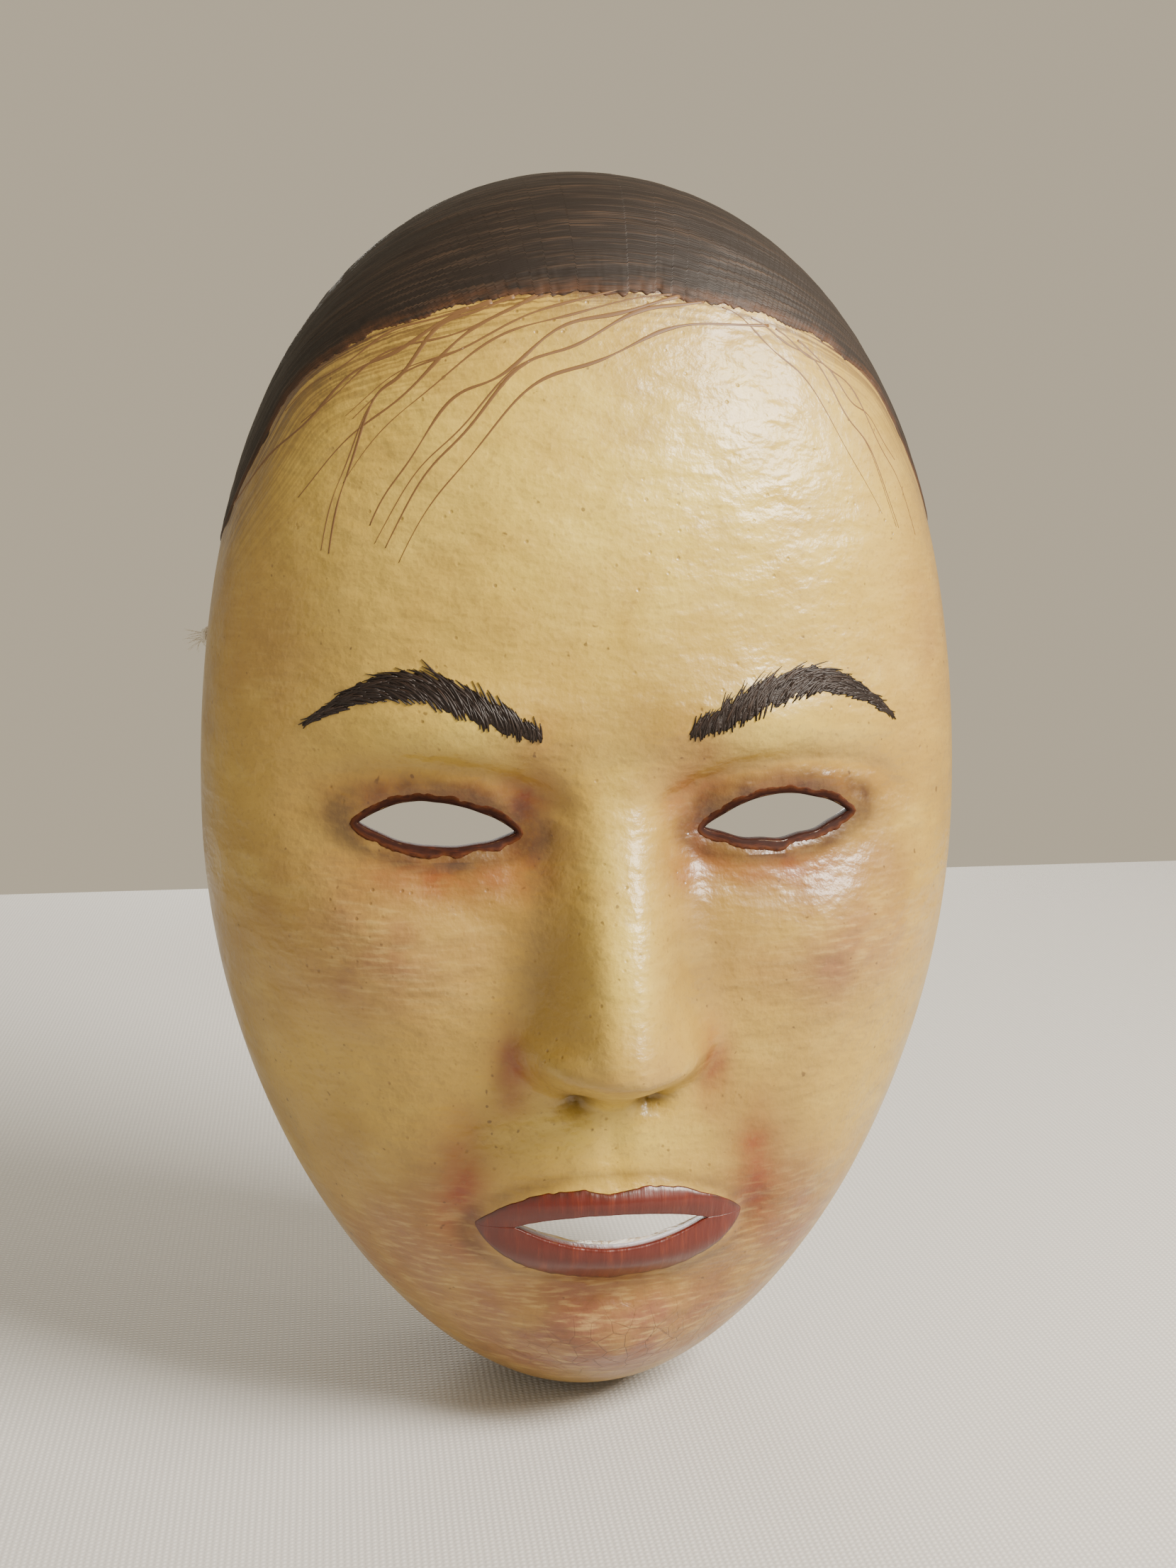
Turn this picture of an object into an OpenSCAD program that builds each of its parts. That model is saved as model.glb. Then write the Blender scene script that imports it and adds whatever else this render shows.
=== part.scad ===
// A moulded paper face mask in the noh manner, as worn: the face looks along -Y,
// +Z is up, and the cut rim lies in the plane y = 0, where it meets the wearer.
// Left and right are the sides seen by someone who looks the mask in the face.

/* [Overall] */
// Height of the rim, crown to chin
mask_h = 240; // [200:1:290]
// Width of the rim at its widest
mask_w = 146; // [120:1:176]
// How much fuller than an oval the crown is
crown_fill = 0.16; // [0:0.01:0.25]
// How much narrower than an oval the jaw is
jaw_taper = 0.1; // [0:0.01:0.35]

/* [Shell] */
// Thickness of the pressed paper wall
wall = 2.8; // [2:0.1:4]
// Thickness of the torn paper lining glued inside
lining_t = 0.5; // [0.3:0.1:1]
// Height of the straight side wall above the rim
side_wall_h = 12; // [11:0.5:16]
// Rise of the domed face above the side wall
dome_rise = 58; // [45:1:75]
// How much the sides roll back in towards the rim
side_roll = 0.09; // [0:0.01:0.12]
// Roundness of the dome from ear to ear (1 is an ellipse, less is flatter)
dome_across = 0.84; // [0.6:0.01:1]
// Roundness of the dome from brow to crown
dome_up = 0.62; // [0.45:0.01:0.9]
// Roundness of the dome from lips to chin
dome_down = 0.5; // [0.4:0.01:0.9]

/* [Forehead and brow bone] */
// Middle of the forehead's fullness, height
forehead_z = 60; // [40:1:80]
// Spread of the forehead's fullness, across and up
forehead_spread = [44, 34]; // [20:1:60]
// Rise of the forehead
forehead_rise = 2.5; // [0:0.5:6]
// Middle of the brow bone, across and up
ridge_at = [27, 20]; // [10:1:40]
// Spread of the brow bone, across and up
ridge_spread = [20, 8]; // [5:1:30]
// Rise of the brow bone
ridge_rise = 3.2; // [0:0.1:6]
// Middle of the temple's hollow, across and up
temple_at = [61, 34]; // [20:1:70]
// Spread of the temple's hollow, across and up
temple_spread = [13, 20]; // [5:1:30]
// Depth of the temple's hollow
temple_sink = 2; // [0:0.1:4]

/* [Eyes] */
// Middle of the eye, across and up
eye_at = [31, 2]; // [0:1:45]
// Length of the eye opening
eye_l = 28; // [20:1:34]
// Rise of the opening's upper edge
eye_up = 5; // [3:0.5:8]
// Fall of the opening's lower edge
eye_down = 3.5; // [2:0.5:6]
// Upward slant of the outer corner, degrees
eye_slant = 4; // [0:1:10]
// Spread of the eye socket, across and up
socket_spread = [19, 11]; // [8:1:28]
// Depth of the eye socket
socket_sink = 8; // [0:0.5:12]
// Spread of the inner corner beside the nose, across and up
corner_spread = [6, 9]; // [3:1:12]
// Depth of the inner corner beside the nose
corner_sink = 3; // [0:0.5:6]
// Rise of the closed lid's ball over the socket
lid_rise = 5; // [0:0.5:8]
// Spread of the lid's ball, across and up
lid_spread = [15, 8.5]; // [5:0.5:22]
// How much taller than the opening the lid's edge is
lid_edge_up = 1.5; // [0.5:0.5:3]
// Rise of the lid's edge along the opening
lid_edge_rise = 0.9; // [0:0.1:1.5]
// Depth of the crease above the upper lid
lid_crease_sink = 1; // [0:0.1:1.5]
// Width of the dark band painted round the opening
eye_band_w = 1.4; // [0.8:0.1:3]

/* [Eyebrows] */
// Inner end of the eyebrow, across and up
brow_from = [13, 19]; // [5:1:40]
// Outer end of the eyebrow, across and up
brow_to = [54, 20]; // [10:1:65]
// Rise of the eyebrow's arch above the line between its ends
brow_arch = 8; // [2:0.5:14]
// Greatest height of the painted eyebrow
brow_h = 7; // [3:0.5:12]

/* [Nose] */
// Height of the bridge, between the eyes
bridge_z = 14; // [5:1:25]
// Height of the tip
tip_z = -39; // [-50:1:-30]
// Height of the nose's foot on the lip
foot_z = -51; // [-60:1:-45]
// Height over which the nose drops to its foot
foot_h = 12; // [6:0.5:14]
// How far the ridge stands out at the tip
nose_rise = 17; // [12:0.5:26]
// How far the ball of the tip stands out beyond the ridge
ball_rise = 2.5; // [0:0.5:8]
// Spread of the ball of the tip, across and up
ball_spread = [10, 8]; // [4:0.5:12]
// Height of the middle of the ball of the tip
ball_z = -38; // [-44:1:-30]
// Half width of the ridge at the bridge
bridge_w = 8.5; // [5:0.5:12]
// Half width of the ridge at the tip
tip_w = 12; // [6:0.5:14]
// Hollow of the ridge's profile below the bridge
nose_hollow = 1.35; // [1:0.05:1.6]
// How much higher the wings' feet are than the middle of the nose's foot
foot_curve = 2.5; // [0:0.5:5]
// Middle of the nostril wing, across and up
wing_at = [12.5, -41]; // [-60:1:20]
// Spread of the nostril wing, across and up
wing_spread = [5.5, 6.5]; // [3:0.5:10]
// Rise of the nostril wing
wing_rise = 7; // [3:0.5:12]
// Middle of the nostril, across and up
nostril_at = [6.5, -47.5]; // [-60:0.5:12]
// Spread of the nostril, across and up
nostril_spread = [3, 2.2]; // [1:0.1:5]
// Depth of the nostril
nostril_sink = 4; // [0:0.5:6]

/* [Cheeks] */
// Middle of the cheekbone, across and up
cheek_at = [43, -20]; // [-50:1:60]
// Spread of the cheekbone, across and up
cheek_spread = [19, 17]; // [8:1:30]
// Rise of the cheekbone
cheek_rise = 5; // [0:0.5:9]
// Middle of the jaw's fullness, across and up
jaw_at = [38, -68]; // [-90:1:60]
// Spread of the jaw's fullness, across and up
jaw_spread = [17, 20]; // [8:1:30]
// Rise of the jaw's fullness
jaw_rise = 3; // [0:0.5:6]

/* [Mouth] */
// Height of the line between the lips
mouth_z = -72; // [-82:1:-66]
// Length of the painted lips
lips_l = 50; // [40:1:60]
// Height of the upper lip
lip_up = 8.5; // [5:0.5:12]
// Height of the lower lip
lip_down = 12.5; // [8:0.5:15]
// Width of the dip in the middle of the upper lip
dip_w = 4; // [2:0.5:6]
// Depth of the dip in the middle of the upper lip
lip_dip = 1.6; // [0:0.1:3]
// Length of the opening between the lips
mouth_l = 36; // [24:1:44]
// Height of the opening above the lip line
mouth_up = 3; // [1:0.1:4]
// Height of the opening below the lip line
mouth_down = 4.5; // [1:0.1:6]
// Rise of the whole mouth
muzzle_rise = 5; // [0:0.5:8]
// Spread of the whole mouth, across and up
muzzle_spread = [28, 18]; // [10:1:36]
// Spread of the upper and the lower lip's roll, up and down
roll_spread = [3, 4]; // [2:0.5:6]
// Rise of the upper lip's roll
upper_roll = 1.8; // [0:0.1:2.5]
// Rise of the lower lip's roll
lower_roll = 2.4; // [0:0.1:3]
// Spread of the dimple at each corner of the mouth, across and up
dimple_spread = [5, 5]; // [3:0.5:8]
// Depth of the dimple at each corner of the mouth
corner_dimple = 1.4; // [0:0.1:1.8]
// Height of the groove's middle above the upper lip
groove_up = 7; // [4:0.5:10]
// Spread of the groove between nose and upper lip, across and up
groove_spread = [2.6, 5]; // [1.5:0.1:6]
// Depth of the groove between nose and upper lip
groove_sink = 0.9; // [0:0.1:1.5]

/* [Chin] */
// Height of the chin's boss
chin_z = -101; // [-108:1:-94]
// Spread of the chin's boss, across and up
chin_spread = [17, 11]; // [8:1:24]
// Rise of the chin's boss
chin_rise = 6.5; // [0:0.5:10]
// Height of the fold under the lower lip
fold_z = -87; // [-92:1:-84]
// Spread of the fold under the lower lip, across and up
fold_spread = [16.7, 5]; // [3:0.5:22]
// Depth of the fold under the lower lip
fold_sink = 3; // [0:0.5:5]

/* [Paint layers] */
// Thickness of the built-up paint of the hair, eyebrows, lips and eye bands
paint_t = 0.4; // [0.3:0.1:0.8]
// Height of the hairline in the middle of the forehead
hair_line_z = 95; // [86:1:106]
// How far the hairline falls where it nears the temples
hair_line_fall = 16; // [6:1:30]
// Width of the hair's point where it ends on the rim
hair_end_w = 1.5; // [1:0.5:3]
// Width of the hair along the rim where it meets the hairline
hair_side_w = 7; // [4:0.5:12]
// Height of the hair's ends
hair_end_z = 40; // [36:1:60]

/* [Rim binding] */
// Thickness of the paper tape folded round the rim
tape_t = 0.5; // [0.3:0.1:0.8]
// Width of the tape on the outside
tape_out = 3; // [2:0.5:4]
// Width of the tape on the inside
tape_in = 4; // [3:0.5:5]

/* [Fit pads] */
// Thickness of the pads
pad_t = 7; // [4:0.5:10]
// Size of the forehead pad, across and up
forehead_pad = [54, 20]; // [14:1:60]
// Height of the middle of the forehead pad
forehead_pad_z = 76; // [66:1:82]
// Size of a cheek pad, across and up
cheek_pad = [20, 34]; // [14:1:36]
// Middle of a cheek pad, across and up
cheek_pad_at = [44, -34]; // [-44:1:48]

/* [Head cord] */
// Diameter of the round braided cord
cord_d = 1.6; // [1.2:0.1:2]
// Diameter of the cord's bores in the temples
bore_d = 2; // [2:0.1:3]
// Height of the bores
bore_z = 32; // [32:1:32]
// Depth of the bores' axis in front of the rim
bore_in = 8; // [8:0.5:8]
// Diameter of the stopper knot
knot_d = 3.4; // [3:0.1:4.5]
// Length of the frayed end beyond the knot
fray_l = 2.6; // [1:0.1:5]
// Thickness of the patch glued round a bore
patch_t = 0.6; // [0.4:0.1:1]
// Size of that patch, along the depth and up
patch = [7, 16]; // [5:1:24]

/* [Hidden] */

// Cells of the surface grid, across and up
cells = [34, 44];
// Share of the grid's cells kept for the flat middle of the dome
even = 0.66;
// Power of the distance from the middle at which the face's relief dies out at the rim
fade_power = 10;
// Power that points the corners of the eyes and mouth
corner_power = 1.8;
// Power that rounds the back of the nose's ridge
ridge_power = 2.6;
// How far out of the eye's middle the lid's edge and the crease above it run, and their spread
edge_reach = 1.12;
crease_reach = 1.75;
reach_spread = 0.2;
// Share of a lip's height at which its roll runs
roll_share = 0.57;
// Power that points the corners of the lips
lips_power = 1.4;
// Share of its height that an eyebrow keeps at its ends
brow_end = 0.12;
// Powers that move the eyebrow's arch outwards, move its fullest place inwards and round it
brow_lean = 1.2;
brow_full = 0.75;
brow_round = 0.8;
// Growth of an opening's length for each millimetre that its edges move out
corner_grow = 2.6;
// How much wider the openings are in the lining than in the shell
lining_grow = 0.8;
// How far from the middle the hairline's fall is measured
hair_fall_at = 50;
// How far a cutting outline runs past the rim
past_rim = 8;
// Corners of a pad's outline
pad_sides = 36;
// Corners of a knot's section, and of its frayed end's
knot_sides = 24;
fray_sides = 16;
// Length of a cutting prism, longer than the mask is deep
prism_l = 300;
// Clearance between pieces that must not touch
clear = 0.1;
// Steps along an outline
outline_steps = 48;
// Corners of the cord's section, and rings for each stretch of its route
cord_sides = 8;
cord_steps = 3;
// Route of the head cord, hung slack from bore to bore inside the rim
cord_route = [
    [-68, -8, 32], [-65, -8, 32], [-62, -8, 31.5], [-58, -8, 30], [-52, -7, 26.5], [-44, -7, 22],
    [-36, -6, 18.5], [-27, -6, 15.5], [-18, -5, 13.5], [-9, -5, 12.5], [0, -5, 12], [9, -5, 12.5],
    [18, -5, 13.5], [27, -6, 15.5], [36, -6, 18.5], [44, -7, 22], [52, -7, 26.5], [58, -8, 30],
    [62, -8, 31.5], [65, -8, 32], [68, -8, 32]];

skin_colour = "#DCC68C";
paper_colour = "#B9A886";
hair_colour = "#3F3632";
brow_colour = "#2E1C18";
lip_colour = "#8E3322";
band_colour = "#4A1F14";
pad_colour = "#E6DDC8";
cord_colour = "#EFEDE6";

// ---- the surface of the face -------------------------------------------------------------

// 0 to 1 with soft ends as a goes from 0 to 1
function soft(a) = let (b = min(max(a, 0), 1)) b * b * (3 - 2 * b);

// A round hill one high, about a place and with a spread, both across and up
function hill(x, z, at, spread) = exp(-pow((x - at[0]) / spread[0], 2) - pow((z - at[1]) / spread[1], 2));

// The same hill on both sides of the face
function hills(x, z, at, spread) = hill(x, z, at, spread) + hill(x, z, [-at[0], at[1]], spread);

// How far out of the eye's middle a place is, 1 being on the opening's edge
function eye_reach(x, z) =
    let (dx = abs(x) - eye_at[0], dz = z - eye_at[1] - tan(eye_slant) * dx, h = dz > 0 ? eye_up : eye_down)
    sqrt(pow(dx / (eye_l / 2), 2) + pow(dz / (h + lid_edge_up), 2));

// The nose: a round-backed ridge that widens and rises to the tip, then drops to its foot
function nose(x, z) =
    let (down = min(max((bridge_z - z) / (bridge_z - tip_z), 0), 1),
         foot = soft((z - foot_z - foot_curve * pow(x / wing_at[0], 2)) / foot_h),
         w = bridge_w + (tip_w - bridge_w) * down)
    foot * (nose_rise * sin(90 * pow(down, nose_hollow)) * exp(-pow(abs(x) / w, ridge_power))
            + ball_rise * hill(x, z, [0, ball_z], ball_spread)
            + wing_rise * hills(x, z, wing_at, wing_spread));

// The large forms, which the inside of the shell follows too
function broad_relief(x, z) =
    forehead_rise * hill(x, z, [0, forehead_z], forehead_spread)
    + ridge_rise * hills(x, z, ridge_at, ridge_spread)
    - temple_sink * hills(x, z, temple_at, temple_spread)
    - socket_sink * hills(x, z, eye_at, socket_spread)
    - corner_sink * hills(x, z, [eye_at[0] / 2, eye_at[1]], corner_spread)
    + lid_rise * hills(x, z, eye_at, lid_spread)
    + cheek_rise * hills(x, z, cheek_at, cheek_spread)
    + jaw_rise * hills(x, z, jaw_at, jaw_spread)
    + muzzle_rise * hill(x, z, [0, mouth_z], muzzle_spread)
    + chin_rise * hill(x, z, [0, chin_z], chin_spread)
    - fold_sink * hill(x, z, [0, fold_z], fold_spread)
    + nose(x, z)
    - nostril_sink * hills(x, z, nostril_at, nostril_spread);

// The small forms, worked into the outside only
function fine_relief(x, z) =
    let (e = eye_reach(x, z), above = soft((z - eye_at[1]) / eye_up), m = min(abs(x) / (lips_l / 2), 1),
         body = sqrt(1 - m * m))
    lid_edge_rise * exp(-pow((e - edge_reach) / reach_spread, 2))
    - lid_crease_sink * above * exp(-pow((e - crease_reach) / reach_spread, 2))
    + upper_roll * body * exp(-pow((z - mouth_z - roll_share * lip_up * body) / roll_spread[0], 2))
    + lower_roll * body * exp(-pow((z - mouth_z + roll_share * lip_down * body) / roll_spread[1], 2))
    - corner_dimple * hills(x, z, [lips_l / 2 + 2, mouth_z], dimple_spread)
    - groove_sink * hill(x, z, [0, mouth_z + lip_up + groove_up], groove_spread);

// A place on the face for u and v from -1 to 1, with or without the small forms.
// The square of u and v is bent into a disc, and the disc into the oval dome.
function face_point(u, v, with_fine) =
    let (p = u * sqrt(1 - v * v / 2), q = v * sqrt(1 - u * u / 2), r = norm([p, q]),
         c = r > 0 ? p / r : 1, s = r > 0 ? q / r : 0,
         turn = 90 * (even * r + (1 - even) * pow(r, 3)),
         reach = sin(turn) + side_roll * c * c * sin(2 * turn),
         fill = (s > 0 ? crown_fill : -jaw_taper) * s * s,
         x = mask_w / 2 * reach * c * (1 + fill * reach * reach),
         z = mask_h / 2 * reach * s,
         power = dome_across + ((s > 0 ? dome_up : dome_down) - dome_across) * s * s,
         fade = 1 - pow(min(reach, 1), fade_power),
         relief = broad_relief(x, z) + (with_fine ? fine_relief(x, z) : 0))
    [x, -(side_wall_h + dome_rise * pow(cos(turn), power) + fade * relief), z];

// ---- grids of places, and the ways out of the surface -------------------------------------

function grid(with_fine) = [for (i = [0:cells[0]]) [for (j = [0:cells[1]])
    face_point(2 * i / cells[0] - 1, 2 * j / cells[1] - 1, with_fine)]];

// The grid's edge as pairs of indices, anticlockwise seen from the front
edge = [for (i = [0:cells[0] - 1]) [i, 0], for (j = [0:cells[1] - 1]) [cells[0], j],
        for (i = [cells[0]:-1:1]) [i, cells[1]], for (j = [cells[1]:-1:1]) [0, j]];
edge_n = len(edge);

function unit(a) = a / norm(a);
function at(g, ij) = g[ij[0]][ij[1]];

// The way out of the rim at a step along the edge, level with the rim's plane
function edge_out(g, k) =
    let (a = at(g, edge[(k + 1) % edge_n]) - at(g, edge[(k + edge_n - 1) % edge_n]))
    unit([a[2], 0, -a[0]]);
function edge_step(i, j) =
    j == 0 ? i : i == cells[0] ? cells[0] + j
    : j == cells[1] ? 2 * cells[0] + cells[1] - i : 2 * (cells[0] + cells[1]) - j;
function on_edge(i, j) = i == 0 || j == 0 || i == cells[0] || j == cells[1];
function ways_out(g) = [for (i = [0:cells[0]]) [for (j = [0:cells[1]])
    on_edge(i, j) ? edge_out(g, edge_step(i, j) % edge_n)
    : unit(cross(g[i + 1][j] - g[i - 1][j], g[i][j + 1] - g[i][j - 1]))]];

front = grid(true);
front_out = ways_out(front);
back = grid(false);
back_out = ways_out(back);

// The outside of the face raised by d, and the inside of the shell sunk by d
function raised(d) = front + d * front_out;
function sunk(d) = back - d * back_out;

// The rim's outline moved out by d, as flat points
function rim_outline(d) = [for (k = [0:edge_n - 1])
    let (a = at(front, edge[k]) + d * edge_out(front, k)) [a[0], a[2]]];

// Half the width of the rim at a height on the upper half of the mask
function rim_half_w(z) =
    let (s = z / (mask_h / 2)) mask_w / 2 * sqrt(1 - s * s) * (1 + crown_fill * s * s);

// ---- solids between two grids ------------------------------------------------------------

function cell_id(i, j) = i * (cells[1] + 1) + j;
grid_n = (cells[0] + 1) * (cells[1] + 1);
function sheet_faces(first, turned) = [for (i = [0:cells[0] - 1]) for (j = [0:cells[1] - 1])
    let (a = first + cell_id(i, j), b = first + cell_id(i, j + 1),
         c = first + cell_id(i + 1, j + 1), d = first + cell_id(i + 1, j),
         two = i < cells[0] / 2 ? [[a, b, c], [a, c, d]] : [[a, b, d], [b, c, d]])
    for (f = two) turned ? [f[2], f[1], f[0]] : f];
function strip_faces(a, b) = [for (k = [0:edge_n - 1]) let (n = (k + 1) % edge_n)
    for (f = [[a[k], a[n], b[n]], [a[k], b[n], b[k]]]) f];
function flat(g) = [for (row = g) for (p = row) p];
function skirt(g, y) = [for (e = edge) let (a = at(g, e)) [a[0], y, a[2]]];

// A closed layer between an outer and an inner grid, brought back to y at the rim
module layer(outer, inner, y) {
    outer_edge = [for (e = edge) cell_id(e[0], e[1])];
    outer_skirt = [for (k = [0:edge_n - 1]) grid_n + k];
    inner_skirt = [for (k = [0:edge_n - 1]) grid_n + edge_n + k];
    inner_edge = [for (e = outer_edge) grid_n + 2 * edge_n + e];
    polyhedron(
        points = concat(flat(outer), skirt(outer, y), skirt(inner, y), flat(inner)),
        faces = concat(sheet_faces(0, false), strip_faces(outer_edge, outer_skirt),
                       strip_faces(outer_skirt, inner_skirt), strip_faces(inner_skirt, inner_edge),
                       sheet_faces(grid_n + 2 * edge_n, true)),
        convexity = 8);
}

// A flat shape drawn in the plane of the rim, carried through the mask
module prism() {
    rotate([90, 0, 0])
        linear_extrude(height = prism_l, center = true)
            children();
}

// The part of a layer that lies behind a flat shape, as one mesh
module patch_of(outer, inner, y) {
    resize([0, 0, 0])
        intersection() {
            layer(outer, inner, y);
            prism()
                children();
        }
}

// ---- flat outlines -----------------------------------------------------------------------

// An opening with pointed corners
module almond(l, up, down) {
    polygon([for (k = [0:outline_steps - 1])
        let (t = 360 * k / outline_steps, s = pow(abs(sin(t)), corner_power))
        [l / 2 * cos(t), sin(t) > 0 ? up * s : -down * s]]);
}

module eye_shape(side, grow) {
    translate([side * eye_at[0], eye_at[1]])
        rotate([0, 0, side * eye_slant])
            almond(eye_l + corner_grow * grow, eye_up + grow, eye_down + grow);
}

module mouth_shape(grow) {
    translate([0, mouth_z])
        almond(mouth_l + corner_grow * grow, mouth_up + grow, mouth_down + grow);
}

// Both lips: a full lower edge, and an upper edge that dips in the middle
module lips_shape() {
    translate([0, mouth_z])
        polygon([for (k = [0:outline_steps - 1])
            let (t = 360 * k / outline_steps, x = lips_l / 2 * cos(t), s = pow(abs(sin(t)), lips_power))
            [x, sin(t) > 0 ? lip_up * s - lip_dip * exp(-pow(x / dip_w, 2)) : -lip_down * s]]);
}

module lip_half(side) {
    difference() {
        intersection() {
            lips_shape();
            translate([-lips_l, mouth_z + (side > 0 ? 0 : -lips_l)])
                square([2 * lips_l, lips_l]);
        }
        mouth_shape(0);
    }
}

// An arched band, fullest a third of the way out and thin at both ends
module brow_shape(side) {
    mid = [for (k = [0:outline_steps / 2]) let (a = 2 * k / outline_steps)
        brow_from + a * (brow_to - brow_from) + [0, brow_arch * sin(180 * pow(a, brow_lean))]];
    half = [for (k = [0:outline_steps / 2]) let (a = 2 * k / outline_steps)
        [0, brow_h / 2 * (brow_end + (1 - brow_end) * pow(sin(180 * pow(a, brow_full)), brow_round))]];
    rows = len(mid);
    mirror([side > 0 ? 0 : 1, 0])
        polygon(concat(mid + half, [for (k = [rows - 1:-1:0]) mid[k] - half[k]]));
}

// The hair: all above an arched hairline, and a strip down each side of the rim to a point
module hair_shape() {
    ring = rim_outline(0);
    strip = [for (k = [0:edge_n - 1]) if (ring[k][1] > hair_end_z) k];
    function width(k) = hair_end_w + (hair_side_w - hair_end_w)
        * soft((ring[k][1] - hair_end_z) / (hair_line_z - hair_line_fall - hair_end_z));
    out = [for (k = strip) ring[k] + past_rim * unit(ring[k])];
    inside = [for (k = strip) let (w = edge_out(front, k)) ring[k] - width(k) * [w[0], w[2]]];
    polygon(concat(out, [for (k = [len(strip) - 1:-1:0]) inside[k]]));
    half = mask_w / 2;
    polygon(concat(
        [for (k = [0:outline_steps]) let (x = half * (2 * k / outline_steps - 1))
            [x, hair_line_z - hair_line_fall * pow(x / hair_fall_at, 2)]],
        [[half, mask_h], [-half, mask_h]]));
}

module oval(size) {
    scale([size[0] / 2, size[1] / 2])
        circle(r = 1, $fn = pad_sides);
}

// ---- the pieces --------------------------------------------------------------------------

module bores() {
    for (side = [-1, 1])
        translate([side * mask_w / 2, -bore_in, bore_z])
            rotate([0, 90, 0])
                cylinder(d = bore_d, h = mask_w / 3, center = true, $fn = 32);
}

// A piece of wall with its openings for the eyes and the mouth cut through
module opened(outer, inner, grow) {
    resize([0, 0, 0])
        difference() {
            layer(outer, inner, -tape_t);
            prism()
                mouth_shape(grow);
            for (side = [-1, 1])
                prism()
                    eye_shape(side, grow);
        }
}

module face_shell() {
    color(skin_colour)
        difference() {
            opened(raised(0), sunk(wall), 0);
            bores();
        }
}

module paper_lining() {
    color(paper_colour)
        difference() {
            opened(sunk(wall), sunk(wall + lining_t), lining_grow);
            bores();
        }
}

// A flat ring between two outlines of the rim, from the plane y = 0 forward
module rim_ring(out, in, depth) {
    rotate([90, 0, 0])
        linear_extrude(height = depth)
            difference() {
                polygon(rim_outline(out));
                polygon(rim_outline(-in));
            }
}

// Tape folded round the rim: an outer fold, an inner fold and the flat back
module rim_binding() {
    in = wall + lining_t;
    color(hair_colour)
        union() {
            rim_ring(tape_t, in + tape_t, tape_t);
            rim_ring(tape_t, 0, tape_out);
            rim_ring(-in, in + tape_t, tape_in);
        }
}

module hair_paint() {
    color(hair_colour)
        patch_of(raised(paint_t), raised(0), -tape_out - clear)
            hair_shape();
}

module brow(side) {
    color(brow_colour)
        patch_of(raised(paint_t), raised(0), -tape_out - clear)
            brow_shape(side);
}

module eye_band(side) {
    color(band_colour)
        patch_of(raised(paint_t), raised(0), -tape_out - clear)
            difference() {
                eye_shape(side, eye_band_w);
                eye_shape(side, 0);
            }
}

module lip(side) {
    color(lip_colour)
        patch_of(raised(paint_t), raised(0), -tape_out - clear)
            lip_half(side);
}

module pad(middle, size) {
    color(pad_colour)
        patch_of(sunk(wall + lining_t), sunk(wall + lining_t + pad_t), -tape_in - clear)
            translate(middle)
                oval(size);
}

module temple_patch(side) {
    deep = wall + lining_t;
    from = bore_in - patch[0] / 2;
    color(paper_colour)
        difference() {
            intersection() {
                rim_ring(-deep, deep + patch_t, bore_in + patch[0] / 2);
                translate([side > 0 ? 0 : -mask_w, -from - patch[0], bore_z - patch[1] / 2])
                    cube([mask_w, patch[0], patch[1]]);
            }
            bores();
        }
}

// A stopper knot outside the wall, its frayed end, and the cord's end through the bore
module cord_knot(side) {
    knot_x = rim_half_w(bore_z) + knot_d / 2 + clear;
    inner_x = cord_route[len(cord_route) - 1][0];
    color(cord_colour)
        scale([side, 1, 1])
            translate([0, -bore_in, bore_z])
                union() {
                    translate([inner_x, 0, 0])
                        rotate([0, 90, 0])
                            cylinder(d = cord_d, h = knot_x - inner_x, $fn = knot_sides);
                    translate([knot_x, 0, 0])
                        sphere(d = knot_d, $fn = knot_sides);
                    translate([knot_x, 0, 0])
                        rotate([0, 90, 0])
                            cylinder(d = cord_d / 2, h = knot_d / 2 + fray_l, $fn = fray_sides);
                }
}

// A smooth line through the route's points, each stretch bent towards its neighbours
function route_at(r, k, a) =
    let (p0 = r[max(k - 1, 0)], p1 = r[k], p2 = r[k + 1], p3 = r[min(k + 2, len(r) - 1)])
    0.5 * (2 * p1 + a * (p2 - p0) + a * a * (2 * p0 - 5 * p1 + 4 * p2 - p3)
           + a * a * a * (3 * p1 - p0 - 3 * p2 + p3));

module head_cord() {
    line = concat([for (k = [0:len(cord_route) - 2]) for (a = [0:cord_steps - 1])
                      route_at(cord_route, k, a / cord_steps)],
                  [cord_route[len(cord_route) - 1]]);
    n = len(line);
    ring = [for (k = [0:n - 1])
        let (way = k == 0 || k == n - 1 ? [1, 0, 0] : unit(line[k + 1] - line[k - 1]),
             side = unit(cross([0, 1, 0], way)), up = cross(way, side))
        for (c = [0:cord_sides - 1]) let (t = 360 * c / cord_sides)
            line[k] + cord_d / 2 * (cos(t) * side + sin(t) * up)];
    wall_faces = [for (k = [0:n - 2]) for (c = [0:cord_sides - 1])
        let (d = (c + 1) % cord_sides, a = k * cord_sides)
        [a + c, a + cord_sides + c, a + cord_sides + d, a + d]];
    ends = [[for (c = [0:cord_sides - 1]) c],
            [for (c = [cord_sides - 1:-1:0]) (n - 1) * cord_sides + c]];
    color(cord_colour)
        polyhedron(points = ring, faces = concat(wall_faces, ends), convexity = 4);
}

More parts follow.
